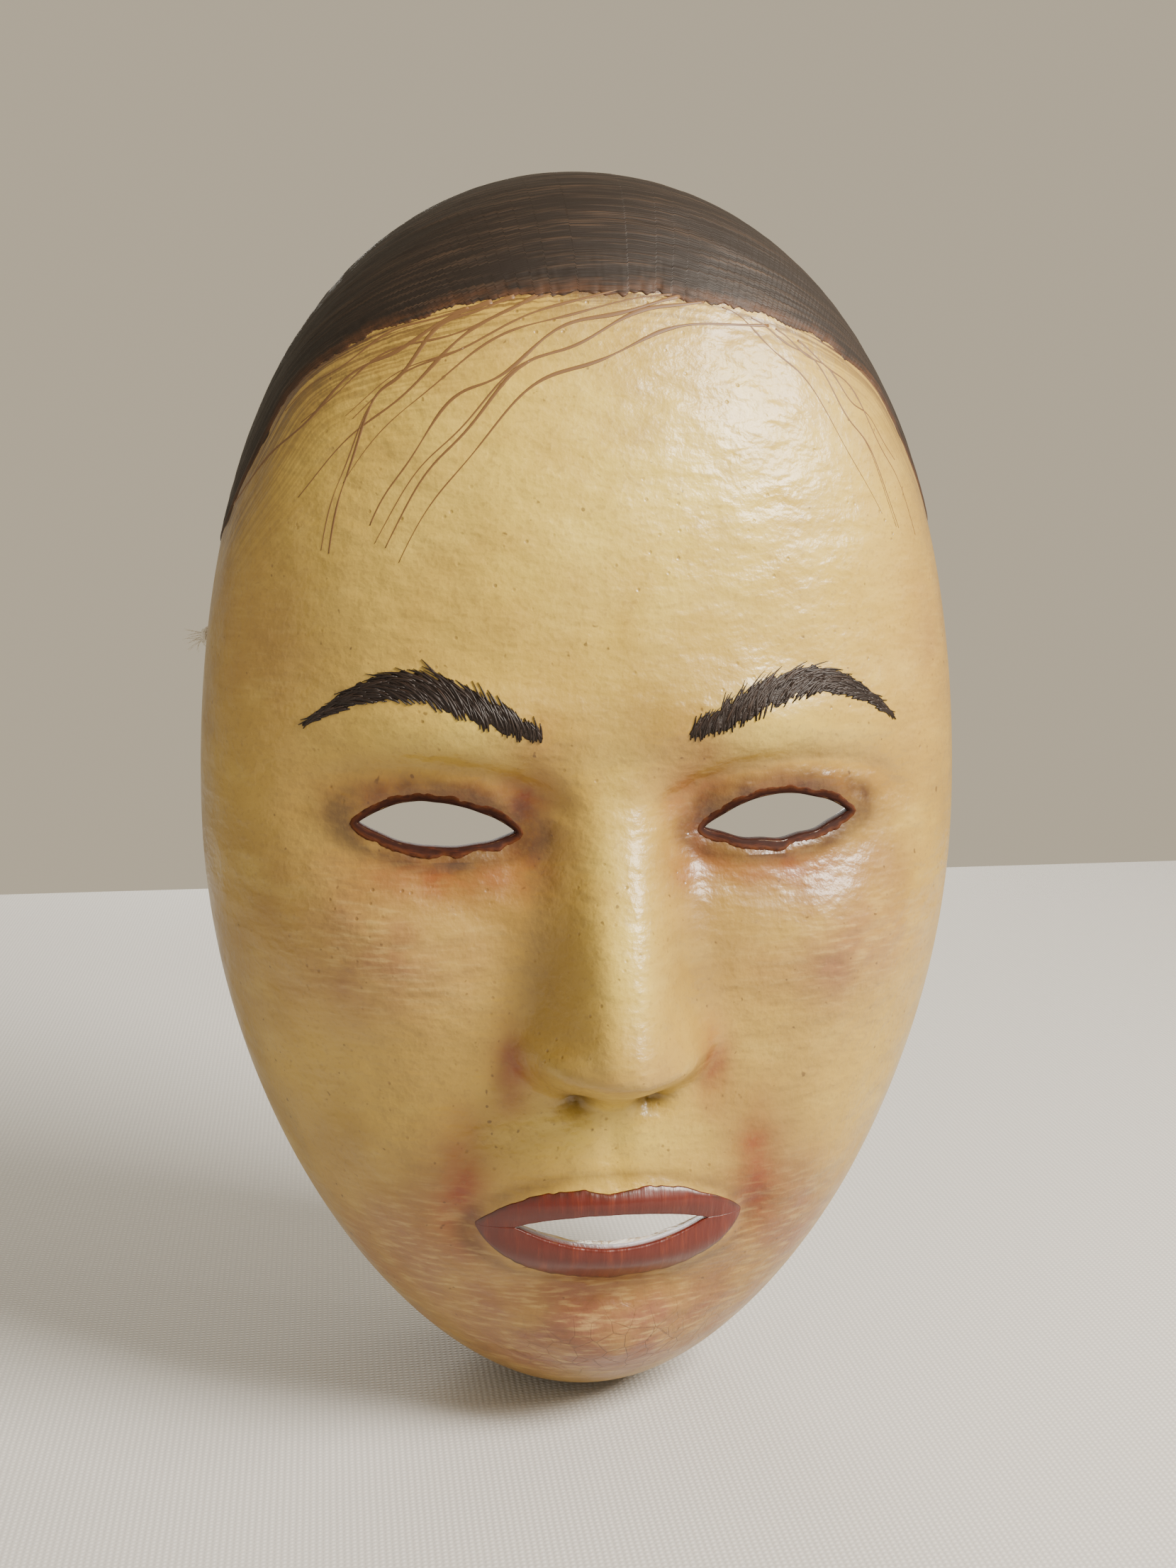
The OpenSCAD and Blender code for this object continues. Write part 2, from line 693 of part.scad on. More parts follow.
face_shell();
paper_lining();
rim_binding();
hair_paint();
brow(-1);  // brow_left
brow(1);  // brow_right
eye_band(-1);  // eye_band_left
eye_band(1);  // eye_band_right
lip(1);  // lip_upper
lip(-1);  // lip_lower
pad([0, forehead_pad_z], forehead_pad);
pad([-cheek_pad_at[0], cheek_pad_at[1]], cheek_pad);  // cheek_pad_left
pad(cheek_pad_at, cheek_pad);  // cheek_pad_right
temple_patch(-1);  // temple_patch_left
temple_patch(1);  // temple_patch_right
cord_knot(-1);  // cord_knot_left
cord_knot(1);  // cord_knot_right
head_cord();
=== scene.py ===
"""The looks of a moulded paper mask in the noh manner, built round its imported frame.

Every length here is in millimetres until a mesh is made, which is when it becomes metres.
The mask looks along -Y with +Z up, and its cut rim lies in the plane y = 0. Left and right
are the sides seen by someone who looks the mask in the face.
"""

import logging
import math
from dataclasses import dataclass
from enum import Enum

import bpy
import numpy as np
from mathutils import Matrix, Vector


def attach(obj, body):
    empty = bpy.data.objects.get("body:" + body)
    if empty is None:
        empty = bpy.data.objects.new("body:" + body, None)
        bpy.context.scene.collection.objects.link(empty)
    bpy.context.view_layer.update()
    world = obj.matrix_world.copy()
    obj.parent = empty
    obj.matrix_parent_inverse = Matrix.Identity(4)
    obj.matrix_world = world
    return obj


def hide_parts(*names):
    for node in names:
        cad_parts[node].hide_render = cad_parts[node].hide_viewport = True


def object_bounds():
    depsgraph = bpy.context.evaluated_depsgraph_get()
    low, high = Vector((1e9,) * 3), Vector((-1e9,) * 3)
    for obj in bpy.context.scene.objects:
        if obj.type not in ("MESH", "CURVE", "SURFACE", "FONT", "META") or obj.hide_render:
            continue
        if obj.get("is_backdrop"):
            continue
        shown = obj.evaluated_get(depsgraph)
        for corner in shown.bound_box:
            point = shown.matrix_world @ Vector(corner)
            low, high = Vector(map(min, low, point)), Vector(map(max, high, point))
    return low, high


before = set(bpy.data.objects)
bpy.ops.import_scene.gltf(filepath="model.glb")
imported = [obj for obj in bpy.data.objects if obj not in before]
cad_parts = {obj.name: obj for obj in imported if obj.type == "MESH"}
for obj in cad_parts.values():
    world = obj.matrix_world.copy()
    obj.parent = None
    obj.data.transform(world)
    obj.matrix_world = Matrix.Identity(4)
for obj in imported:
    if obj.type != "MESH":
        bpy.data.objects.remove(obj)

Array = np.ndarray
Pair = tuple[float, float]
Triple = tuple[float, float, float]
Skin = tuple[Array, list[Array]]
log = logging.getLogger("mask")

MM = 0.001
BODY = "root"
LATTICE = 97
CRISP_PAPER = math.radians(48)
CRISP_TAPE = math.radians(60)


class Side(Enum):
    """The two sides of the mask."""

    LEFT = -1
    RIGHT = 1

    @property
    def word(self) -> str:
        """The side's name as the node names use it."""
        return self.name.lower()


class Wall(Enum):
    """The two faces of the pressed paper wall."""

    OUTSIDE = "outside"
    INSIDE = "inside"


NORMAL_STEP = {Wall.OUTSIDE: 1.5e-3, Wall.INSIDE: 1.4e-2}


# ---- numbers ----


def soft(a: Array) -> Array:
    """Goes from 0 to 1 with flat ends as a goes from 0 to 1: a squared times (3 - 2a).

    Args:
        a: values, held to the range 0 to 1.

    Returns:
        The softened values.
    """
    b = np.clip(a, 0.0, 1.0)
    return b * b * (3.0 - 2.0 * b)


def hill(x: Array, z: Array, at: Pair, spread: Pair) -> Array:
    """A round hill one high: e to the minus squared distance, each way in its own spread.

    Args:
        x: places across.
        z: places up.
        at: the hill's middle.
        spread: how far it reaches across and up.

    Returns:
        The hill's height at each place.
    """
    return np.exp(-(((x - at[0]) / spread[0]) ** 2) - ((z - at[1]) / spread[1]) ** 2)


def hills(x: Array, z: Array, at: Pair, spread: Pair) -> Array:
    """The same hill on both sides of the face.

    Args:
        x: places across.
        z: places up.
        at: the right hill's middle.
        spread: how far each reaches across and up.

    Returns:
        The height at each place.
    """
    return hill(x, z, at, spread) + hill(x, z, (-at[0], at[1]), spread)


def cloud(x: Array, z: Array, size: float, seed: int) -> Array:
    """Smooth seeded unevenness from -1 to 1: random values on a lattice, softly blended.

    Args:
        x: places across.
        z: places up.
        size: distance between lattice points.
        seed: which lattice.

    Returns:
        The value at each place.
    """
    lattice = np.random.default_rng(seed).uniform(-1.0, 1.0, (LATTICE, LATTICE))
    a, b = np.asarray(x) / size + LATTICE // 2, np.asarray(z) / size + LATTICE // 2
    i, j = np.floor(a).astype(int), np.floor(b).astype(int)
    s, t = soft(a - i), soft(b - j)
    i, j, i_next, j_next = (k % LATTICE for k in (i, j, i + 1, j + 1))
    near = lattice[i, j] * (1 - s) + lattice[i_next, j] * s
    far = lattice[i, j_next] * (1 - s) + lattice[i_next, j_next] * s
    return near * (1 - t) + far * t


def unit(a: Array) -> Array:
    """Arrows of length one: each divided by its own length."""
    return a / np.maximum(np.linalg.norm(a, axis=-1, keepdims=True), 1e-12)


def around(steps: int) -> Array:
    """Even angles round a full turn, the first of them 0."""
    return np.linspace(0.0, 2 * np.pi, steps, endpoint=False)


def run(line: Array) -> Array:
    """The way along a line up to each of its points: a running sum of its steps' lengths."""
    return np.concatenate([[0.0], np.cumsum(np.linalg.norm(np.diff(line, axis=0), axis=1))])


def follow(line: Array, at: Array) -> Array:
    """Points on a line at given ways along it, each coordinate interpolated by itself.

    Args:
        line: its points, one a row.
        at: the ways along it.

    Returns:
        One row for each way.
    """
    way = run(line)
    return np.stack([np.interp(at, way, column) for column in line.T], axis=-1)


# ---- the face ----


@dataclass(frozen=True)
class FaceForm:
    """The mask's shape as a function of two parameters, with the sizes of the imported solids.

    A place is given by p and q inside the unit disc. The disc becomes an oval dome, and the
    ring from radius 1 to `lip` beyond it becomes the straight side wall.
    """

    rim_h: float = 240.0
    rim_w: float = 146.0
    crown_fill: float = 0.16
    jaw_taper: float = 0.10
    wall: float = 2.8
    lining: float = 0.5
    tape: float = 0.5
    side_wall_h: float = 12.0
    dome_rise: float = 58.0
    side_roll: float = 0.09
    turn_power: float = 1.6
    turn_lean: float = 0.75
    dome_across: float = 0.84
    dome_up: float = 0.62
    dome_down: float = 0.50
    fade_power: float = 10.0
    lip: float = 0.10

    forehead_z: float = 60.0
    forehead_spread: Pair = (44.0, 34.0)
    forehead_rise: float = 2.5
    ridge_at: Pair = (27.0, 20.0)
    ridge_spread: Pair = (20.0, 8.0)
    ridge_rise: float = 3.2
    temple_at: Pair = (61.0, 34.0)
    temple_spread: Pair = (13.0, 20.0)
    temple_sink: float = 2.0

    eye_at: Pair = (31.0, 2.0)
    eye_l: float = 28.0
    eye_up: float = 5.0
    eye_down: float = 3.5
    eye_slant: float = 4.0
    socket_spread: Pair = (19.0, 11.0)
    socket_sink: float = 8.0
    corner_spread: Pair = (6.0, 9.0)
    corner_sink: float = 3.0
    lid_rise: float = 5.0
    lid_spread: Pair = (15.0, 8.5)
    lid_edge_up: float = 1.5
    lid_edge_rise: float = 0.9
    lid_crease_sink: float = 1.0
    edge_reach: float = 1.12
    crease_reach: float = 1.75
    reach_spread: float = 0.2
    corner_power: float = 1.8

    bridge_z: float = 14.0
    tip_z: float = -39.0
    foot_z: float = -51.0
    foot_h: float = 12.0
    nose_rise: float = 17.0
    ball_rise: float = 2.5
    ball_spread: Pair = (10.0, 8.0)
    ball_z: float = -38.0
    bridge_w: float = 8.5
    tip_w: float = 12.0
    nose_hollow: float = 1.35
    foot_curve: float = 2.5
    ridge_power: float = 2.6
    wing_at: Pair = (12.5, -41.0)
    wing_spread: Pair = (5.5, 6.5)
    wing_rise: float = 7.0
    nostril_at: Pair = (6.5, -47.5)
    nostril_spread: Pair = (3.0, 2.2)
    nostril_sink: float = 4.0

    cheek_at: Pair = (43.0, -20.0)
    cheek_spread: Pair = (19.0, 17.0)
    cheek_rise: float = 5.0
    jaw_at: Pair = (38.0, -68.0)
    jaw_spread: Pair = (17.0, 20.0)
    jaw_rise: float = 3.0

    mouth_z: float = -72.0
    lips_l: float = 50.0
    lip_up: float = 8.5
    lip_down: float = 12.5
    lip_dip: float = 1.6
    dip_w: float = 4.0
    lips_power: float = 1.4
    mouth_l: float = 36.0
    mouth_up: float = 3.0
    mouth_down: float = 4.5
    muzzle_rise: float = 5.0
    muzzle_spread: Pair = (28.0, 18.0)
    upper_roll: float = 1.8
    lower_roll: float = 2.4
    roll_spread: Pair = (3.0, 4.0)
    roll_share: float = 0.57
    corner_dimple: float = 1.4
    dimple_spread: Pair = (5.0, 5.0)
    groove_sink: float = 0.9
    groove_up: float = 7.0
    groove_spread: Pair = (2.6, 5.0)

    chin_z: float = -101.0
    chin_spread: Pair = (17.0, 11.0)
    chin_rise: float = 6.5
    fold_z: float = -87.0
    fold_spread: Pair = (16.7, 5.0)
    fold_sink: float = 3.0

    def eye_reach(self, x: Array, z: Array) -> Array:
        """How far out of the eye's middle a place is, 1 being on the opening's edge.

        Args:
            x: places across.
            z: places up.

        Returns:
            The elliptical distance, with the eye's slant taken out.
        """
        dx = np.abs(x) - self.eye_at[0]
        dz = z - self.eye_at[1] - math.tan(math.radians(self.eye_slant)) * dx
        h = np.where(dz > 0, self.eye_up, self.eye_down) + self.lid_edge_up
        return np.sqrt((dx / (self.eye_l / 2)) ** 2 + (dz / h) ** 2)

    def nose(self, x: Array, z: Array) -> Array:
        """A round-backed ridge that widens and rises to the tip, then drops to its foot.

        Args:
            x: places across.
            z: places up.

        Returns:
            The nose's height: ridge, ball and both wings, times a soft step at the foot.
        """
        down = np.clip((self.bridge_z - z) / (self.bridge_z - self.tip_z), 0.0, 1.0)
        lifted = self.foot_z + self.foot_curve * (x / self.wing_at[0]) ** 2
        foot = soft((z - lifted) / self.foot_h)
        w = self.bridge_w + (self.tip_w - self.bridge_w) * down
        profile = self.nose_rise * np.sin(math.pi / 2 * down**self.nose_hollow)
        ridge = profile * np.exp(-((np.abs(x) / w) ** self.ridge_power))
        ball = self.ball_rise * hill(x, z, (0.0, self.ball_z), self.ball_spread)
        return foot * (ridge + ball + self.wing_rise * hills(x, z, self.wing_at, self.wing_spread))

    def broad(self, x: Array, z: Array) -> Array:
        """The large forms of the face, which the inside follows too: a sum of hills and hollows.

        Args:
            x: places across.
            z: places up.

        Returns:
            The height that they add at each place.
        """
        beside_nose = (self.eye_at[0] / 2, self.eye_at[1])
        return (
            self.forehead_rise * hill(x, z, (0.0, self.forehead_z), self.forehead_spread)
            + self.ridge_rise * hills(x, z, self.ridge_at, self.ridge_spread)
            - self.temple_sink * hills(x, z, self.temple_at, self.temple_spread)
            - self.socket_sink * hills(x, z, self.eye_at, self.socket_spread)
            - self.corner_sink * hills(x, z, beside_nose, self.corner_spread)
            + self.lid_rise * hills(x, z, self.eye_at, self.lid_spread)
            + self.cheek_rise * hills(x, z, self.cheek_at, self.cheek_spread)
            + self.jaw_rise * hills(x, z, self.jaw_at, self.jaw_spread)
            + self.muzzle_rise * hill(x, z, (0.0, self.mouth_z), self.muzzle_spread)
            + self.chin_rise * hill(x, z, (0.0, self.chin_z), self.chin_spread)
            - self.fold_sink * hill(x, z, (0.0, self.fold_z), self.fold_spread)
            + self.nose(x, z)
            - self.nostril_sink * hills(x, z, self.nostril_at, self.nostril_spread)
        )

    def fine(self, x: Array, z: Array) -> Array:
        """The small forms of the outside: lid edges, creases, the lips' rolls and dimples.

        Args:
            x: places across.
            z: places up.

        Returns:
            The height that they add at each place.
        """
        e = self.eye_reach(x, z)
        above = soft((z - self.eye_at[1]) / self.eye_up)
        body = np.sqrt(1.0 - np.minimum(np.abs(x) / (self.lips_l / 2), 1.0) ** 2)
        upper = (z - self.mouth_z - self.roll_share * self.lip_up * body) / self.roll_spread[0]
        lower = (z - self.mouth_z + self.roll_share * self.lip_down * body) / self.roll_spread[1]
        corner = (self.lips_l / 2 + 2.0, self.mouth_z)
        groove = (0.0, self.mouth_z + self.lip_up + self.groove_up)
        return (
            self.lid_edge_rise * np.exp(-(((e - self.edge_reach) / self.reach_spread) ** 2))
            - self.lid_crease_sink * above * np.exp(-(((e - self.crease_reach) / self.reach_spread) ** 2))
            + self.upper_roll * body * np.exp(-(upper**2))
            + self.lower_roll * body * np.exp(-(lower**2))
            - self.corner_dimple * hills(x, z, corner, self.dimple_spread)
            - self.groove_sink * hill(x, z, groove, self.groove_spread)
        )

    def handwork(self, x: Array, z: Array) -> Array:
        """The slight unevenness that hand pressing and brushed ground leave: three clouds."""
        return (
            0.22 * cloud(x, z, 21.0, 3)
            + 0.09 * cloud(x, z * 1.6, 8.0, 5)
            + 0.035 * cloud(x * 0.7, z * 2.2, 3.1, 7)
        )

    def turn(self, r: Array) -> Array:
        """The dome's turn in radians from its middle (0) to its foot, closer towards the foot."""
        s = np.clip(r, 0.0, 1.0)
        return math.pi / 2 * (1.0 - (1.0 - s) ** self.turn_power * (1.0 + self.turn_lean * s))

    def place(self, p: Array, q: Array, wall: Wall = Wall.OUTSIDE) -> Array:
        """Places on the mask for disc coordinates.

        The reach across the oval is sin(turn) plus a little roll, and the dome's height is a
        power of cos(turn). The relief is added forward and dies out towards the rim.

        Args:
            p: disc coordinate across.
            q: disc coordinate up.
            wall: OUTSIDE carries the small forms too, and INSIDE leaves them out.

        Returns:
            An array of x, y, z with the shape of p and q.
        """
        r = np.hypot(p, q)
        c, s = np.where(r > 0, p / np.maximum(r, 1e-9), 1.0), np.where(r > 0, q / np.maximum(r, 1e-9), 0.0)
        turn = self.turn(r)
        reach = np.sin(turn) + self.side_roll * c * c * np.sin(2 * turn)
        fill = np.where(s > 0, self.crown_fill, -self.jaw_taper) * s * s
        x = self.rim_w / 2 * reach * c * (1.0 + fill * reach * reach)
        z = self.rim_h / 2 * reach * s
        power = self.dome_across + (np.where(s > 0, self.dome_up, self.dome_down) - self.dome_across) * s * s
        dome = self.dome_rise * np.maximum(np.cos(turn), 0.0) ** power
        relief = self.broad(x, z)
        if wall is Wall.OUTSIDE:
            relief = relief + self.fine(x, z) + self.handwork(x, z)
        fade = 1.0 - np.minimum(reach, 1.0) ** self.fade_power
        down_wall = (self.side_wall_h - self.tape) * np.maximum(r - 1.0, 0.0) / self.lip
        return np.stack([x, -(self.side_wall_h + dome + fade * relief) + down_wall, z], axis=-1)

    def surface(self, p: Array, q: Array, lift: Array | float = 0.0, wall: Wall = Wall.OUTSIDE) -> Array:
        """Places a given way off the mask's surface, along its outward normal.

        Args:
            p: disc coordinate across.
            q: disc coordinate up.
            lift: distance out of the mask, negative for inwards.
            wall: which face of the wall to start from.

        Returns:
            The lifted places.
        """
        here = self.place(p, q, wall)
        return here + np.asarray(lift)[..., None] * self.out(p, q, wall)

    def out(self, p: Array, q: Array, wall: Wall = Wall.OUTSIDE) -> Array:
        """Outward normals: the cross product of small steps across and up the disc.

        The inside takes longer steps, so that it rounds over what the outside shows sharply.

        Args:
            p: disc coordinate across.
            q: disc coordinate up.
            wall: which face of the wall.

        Returns:
            Arrows of length one.
        """
        h = NORMAL_STEP[wall]
        across = self.place(p + h, q, wall) - self.place(p - h, q, wall)
        up = self.place(p, q + h, wall) - self.place(p, q - h, wall)
        return unit(np.cross(across, up))

    def spot(self, x: Array, z: Array) -> tuple[Array, Array]:
        """Disc coordinates of places seen from the front, by turning the formulas of `place` round.

        Args:
            x: places across, inside the rim.
            z: places up.

        Returns:
            p and q.
        """
        b = z / (self.rim_h / 2)
        fill = np.where(b > 0, self.crown_fill, -self.jaw_taper)
        a = x / (self.rim_w / 2 * (1.0 + fill * b * b))
        reach = np.hypot(a, b)
        roll = self.side_roll * (a / np.maximum(reach, 1e-9)) ** 2
        turn = np.arcsin(np.clip(reach, 0.0, 0.99))
        for _ in range(6):
            short = reach - np.sin(turn) - roll * np.sin(2 * turn)
            slope = np.cos(turn) + 2 * roll * np.cos(2 * turn)
            turn = np.clip(turn + short / np.maximum(slope, 0.05), 0.0, 1.5)
        table = np.linspace(0.0, 1.0, 4001)
        scale = np.interp(turn, self.turn(table), table) / np.maximum(reach, 1e-9)
        return a * scale, b * scale

    def on_front(self, x: Array, z: Array, lift: Array | float = 0.0, wall: Wall = Wall.OUTSIDE) -> Array:
        """Places off the surface for places seen from the front.

        Args:
            x: places across.
            z: places up.
            lift: distance out of the mask.
            wall: which face of the wall.

        Returns:
            The lifted places.
        """
        p, q = self.spot(np.asarray(x, float), np.asarray(z, float))
        return self.surface(p, q, lift, wall)


# ---- meshes ----


def grid_faces(rows: int, cols: int, first: int = 0, closed: bool = False, turned: bool = False) -> Array:
    """Quads over a grid of points stored row after row.

    Args:
        rows: rows of points.
        cols: points in a row.
        first: index of the first point.
        closed: whether each row's last point joins its first.
        turned: whether the quads are wound the other way.

    Returns:
        An array of four indices a quad.
    """
    i = np.arange(rows - 1)[:, None]
    j = np.arange(cols if closed else cols - 1)[None, :]
    k = (j + 1) % cols
    quads = np.stack(
        [i * cols + j, i * cols + k, (i + 1) * cols + k, (i + 1) * cols + j], axis=-1
    ).reshape(-1, 4)
    return first + (quads[:, ::-1] if turned else quads)


def make_piece(
    name: str, points: Array, faces: list[Array], marks: dict[str, Array] | None = None
) -> bpy.types.Object:
    """Makes a smooth mesh object from arrays, at the origin and in metres.

    Args:
        name: the piece's name.
        points: places in millimetres, one a vertex.
        faces: arrays of triangles or quads, as vertex indices.
        marks: named vertex attributes, each with one number or three a vertex.

    Returns:
        The new object.
    """
    points = np.asarray(points, float).reshape(-1, 3)
    loops = np.concatenate([f.reshape(-1) for f in faces]).astype(np.int32)
    totals = np.concatenate([np.full(len(f), f.shape[1]) for f in faces]).astype(np.int32)
    starts = np.concatenate([[0], np.cumsum(totals)[:-1]]).astype(np.int32)
    mesh = bpy.data.meshes.new(name)
    mesh.vertices.add(len(points))
    mesh.vertices.foreach_set("co", (points * MM).astype(np.float32).ravel())
    mesh.loops.add(len(loops))
    mesh.loops.foreach_set("vertex_index", loops)
    mesh.polygons.add(len(totals))
    mesh.polygons.foreach_set("loop_start", starts)
    mesh.polygons.foreach_set("loop_total", totals)
    mesh.polygons.foreach_set("use_smooth", np.ones(len(totals), bool))
    mesh.update(calc_edges=True)
    piece = bpy.data.objects.new(name, mesh)
    bpy.context.scene.collection.objects.link(piece)
    mark(piece, marks or {})
    return piece


def dress(
    piece: bpy.types.Object, material: bpy.types.Material, slot: str, *stands_for: str
) -> bpy.types.Object:
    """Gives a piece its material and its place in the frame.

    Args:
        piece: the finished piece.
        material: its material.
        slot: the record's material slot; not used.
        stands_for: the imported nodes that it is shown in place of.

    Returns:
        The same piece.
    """
    piece.data.materials.clear()
    piece.data.materials.append(material)
    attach(piece, BODY)
    if stands_for:
        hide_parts(*stands_for)
    log.info("%s: %d points", piece.name, len(piece.data.vertices))
    return piece


def volume(points: Array, faces: list[Array]) -> float:
    """The volume inside closed faces: a sixth of the sum of the triple products of their triangles.

    Args:
        points: the vertices.
        faces: arrays of triangles or quads.

    Returns:
        The volume, negative where the faces point inwards.
    """
    total = 0.0
    for group in faces:
        for k in range(1, group.shape[1] - 1):
            a, b, c = (points[group[:, i]] for i in (0, k, k + 1))
            total += float((a * np.cross(b, c)).sum()) / 6.0
    return total


def loft(sections: Array, ring: bool = False) -> Skin:
    """A closed skin through closed outlines, one after another.

    Args:
        sections: outline, point and x y z, with as many points in each outline.
        ring: whether the last outline joins the first; otherwise rungs from side to side,
            like a ladder's, close each end.

    Returns:
        The vertices and the faces, wound so that they point outwards.
    """
    n, m = sections.shape[:2]
    points = sections.reshape(-1, 3)
    i, j = np.arange(n if ring else n - 1)[:, None], np.arange(m)[None, :]
    below, after = (i + 1) % n, (j + 1) % m
    corners = [i * m + j, i * m + after, below * m + after, below * m + j]
    faces = [np.stack(corners, axis=-1).reshape(-1, 4)]
    if not ring:
        k = np.arange((m - 2) // 2)
        ends = [np.stack([k, k + 1, m - 2 - k, m - 1 - k], axis=-1)] if len(k) else []
        if m % 2:
            ends.append(np.array([[(m - 3) // 2, (m - 1) // 2, (m + 1) // 2]]))
        faces += [end[:, ::-1] for end in ends] + [end + (n - 1) * m for end in ends]
    if volume(points, faces) < 0:
        faces = [group[:, ::-1] for group in faces]
    return points, faces


def tube(path: Array, radius: Array | float, sides: int) -> Skin:
    """A tube along a path: a ring across the path at each of its points, closed at its ends.

    Args:
        path: points along the middle.
        radius: one for all, one for each point, or one for each point and side.
        sides: corners of a ring.

    Returns:
        The vertices and the faces.
    """
    n = len(path)
    way = unit(np.gradient(path, axis=0))
    side = np.zeros_like(way)
    side[0] = unit(np.cross(way[0], (0.13, 0.99, 0.07)))
    for k in range(1, n):
        side[k] = unit(side[k - 1] - np.dot(side[k - 1], way[k]) * way[k])
    up = np.cross(way, side)
    a = around(sides)
    r = np.asarray(radius, float)
    r = np.broadcast_to(r[:, None] if r.ndim == 1 else r, (n, sides))[..., None]
    return loft(path[:, None] + r * (np.cos(a)[:, None] * side[:, None] + np.sin(a)[:, None] * up[:, None]))


def joined(parts: list[Skin]) -> Skin:
    """Several skins as one: their vertices one after another, and their faces counted on.

    Args:
        parts: the vertices and the faces of each.

    Returns:
        The vertices and the faces.
    """
    first = np.cumsum([0] + [len(points) for points, _ in parts])
    faces = [group + start for (_, groups), start in zip(parts, first) for group in groups]
    return np.vstack([points for points, _ in parts]), faces


def wall_between(outer: Array, inner: Array) -> Skin:
    """A closed wall between two grids, the inner one with every second point of the outer one.

    Args:
        outer: a grid of places, [across][up].
        inner: the same sheet on the inside, with half as many cells each way.

    Returns:
        The vertices and the faces, pointing out of the wall.
    """
    n, m = outer.shape[0] - 1, outer.shape[1] - 1

    def edge(across: int, up: int) -> Array:
        """Indices round a grid's edge, anticlockwise seen from the front."""
        i, j, row = np.arange(across), np.arange(up), up + 1
        return np.concatenate([i * row, across * row + j, (across - i) * row + up, up - j])

    first = (n + 1) * (m + 1)
    big, small = edge(n, m), edge(n // 2, m // 2) + first
    a, b, c = big[0::2], big[1::2], np.roll(big, -2)[0::2]
    p, q = small, np.roll(small, -1)
    strips = [np.stack(t, axis=-1) for t in ((b, a, p), (b, p, q), (c, b, q))]
    sheets = [grid_faces(n + 1, m + 1, turned=True), grid_faces(n // 2 + 1, m // 2 + 1, first)]
    return np.vstack([outer.reshape(-1, 3), inner.reshape(-1, 3)]), sheets + strips


def settle(piece: bpy.types.Object) -> None:
    """Turns a piece's modifiers into its mesh, and drops them.

    Args:
        piece: the piece.
    """
    seen = piece.evaluated_get(bpy.context.evaluated_depsgraph_get())
    before = piece.data
    piece.data = bpy.data.meshes.new_from_object(seen)
    piece.modifiers.clear()
    piece.data.name = piece.name
    bpy.data.meshes.remove(before)


def places(piece: bpy.types.Object) -> Array:
    """Where a piece's vertices are, in millimetres.

    Args:
        piece: the piece.

    Returns:
        One row for each vertex.
    """
    flat = np.empty(3 * len(piece.data.vertices), np.float32)
    piece.data.vertices.foreach_get("co", flat)
    return flat.reshape(-1, 3).astype(float) / MM


def mark(piece: bpy.types.Object, marks: dict[str, Array]) -> None:
    """Writes named attributes, with one number or three a vertex.

    Args:
        piece: the piece.
        marks: the values by name.
    """
    mesh = piece.data
    for label, values in marks.items():
        values = np.asarray(values, np.float32).reshape(len(mesh.vertices), -1)
        kind, slot = ("FLOAT_VECTOR", "vector") if values.shape[1] == 3 else ("FLOAT", "value")
        mesh.attributes.new(label, kind, "POINT").data.foreach_set(slot, values.ravel())


# ---- finishes ----


def linear(colour: str) -> tuple[float, float, float, float]:
    """Turns an sRGB hex colour into the linear colour that a shader takes.

    Args:
        colour: such as "#DCC68C".

    Returns:
        Red, green, blue and full cover.
    """
    part = [int(colour[k : k + 2], 16) / 255 for k in (1, 3, 5)]
    r, g, b = (c / 12.92 if c <= 0.04045 else ((c + 0.055) / 1.055) ** 2.4 for c in part)
    return (r, g, b, 1.0)


def add_node(
    tree: bpy.types.NodeTree,
    kind: str,
    settings: dict | None = None,
    links: dict | None = None,
    out: str | int = 0,
) -> bpy.types.NodeSocket | None:
    """Adds a shader node, sets it and joins what feeds it.

    Args:
        tree: the material's node tree.
        kind: the node's type.
        settings: properties by name, or values of sockets by name or number.
        links: sockets that feed this node's sockets, by name or number.
        out: the output wanted, by name or number.

    Returns:
        That output, or nothing where the node has none.
    """
    node = tree.nodes.new(kind)
    for key, value in (settings or {}).items():
        if isinstance(key, str) and hasattr(node, key):
            setattr(node, key, value)
        else:
            node.inputs[key].default_value = value
    for key, source in (links or {}).items():
        tree.links.new(source, node.inputs[key])
    return node.outputs[out] if len(node.outputs) else None


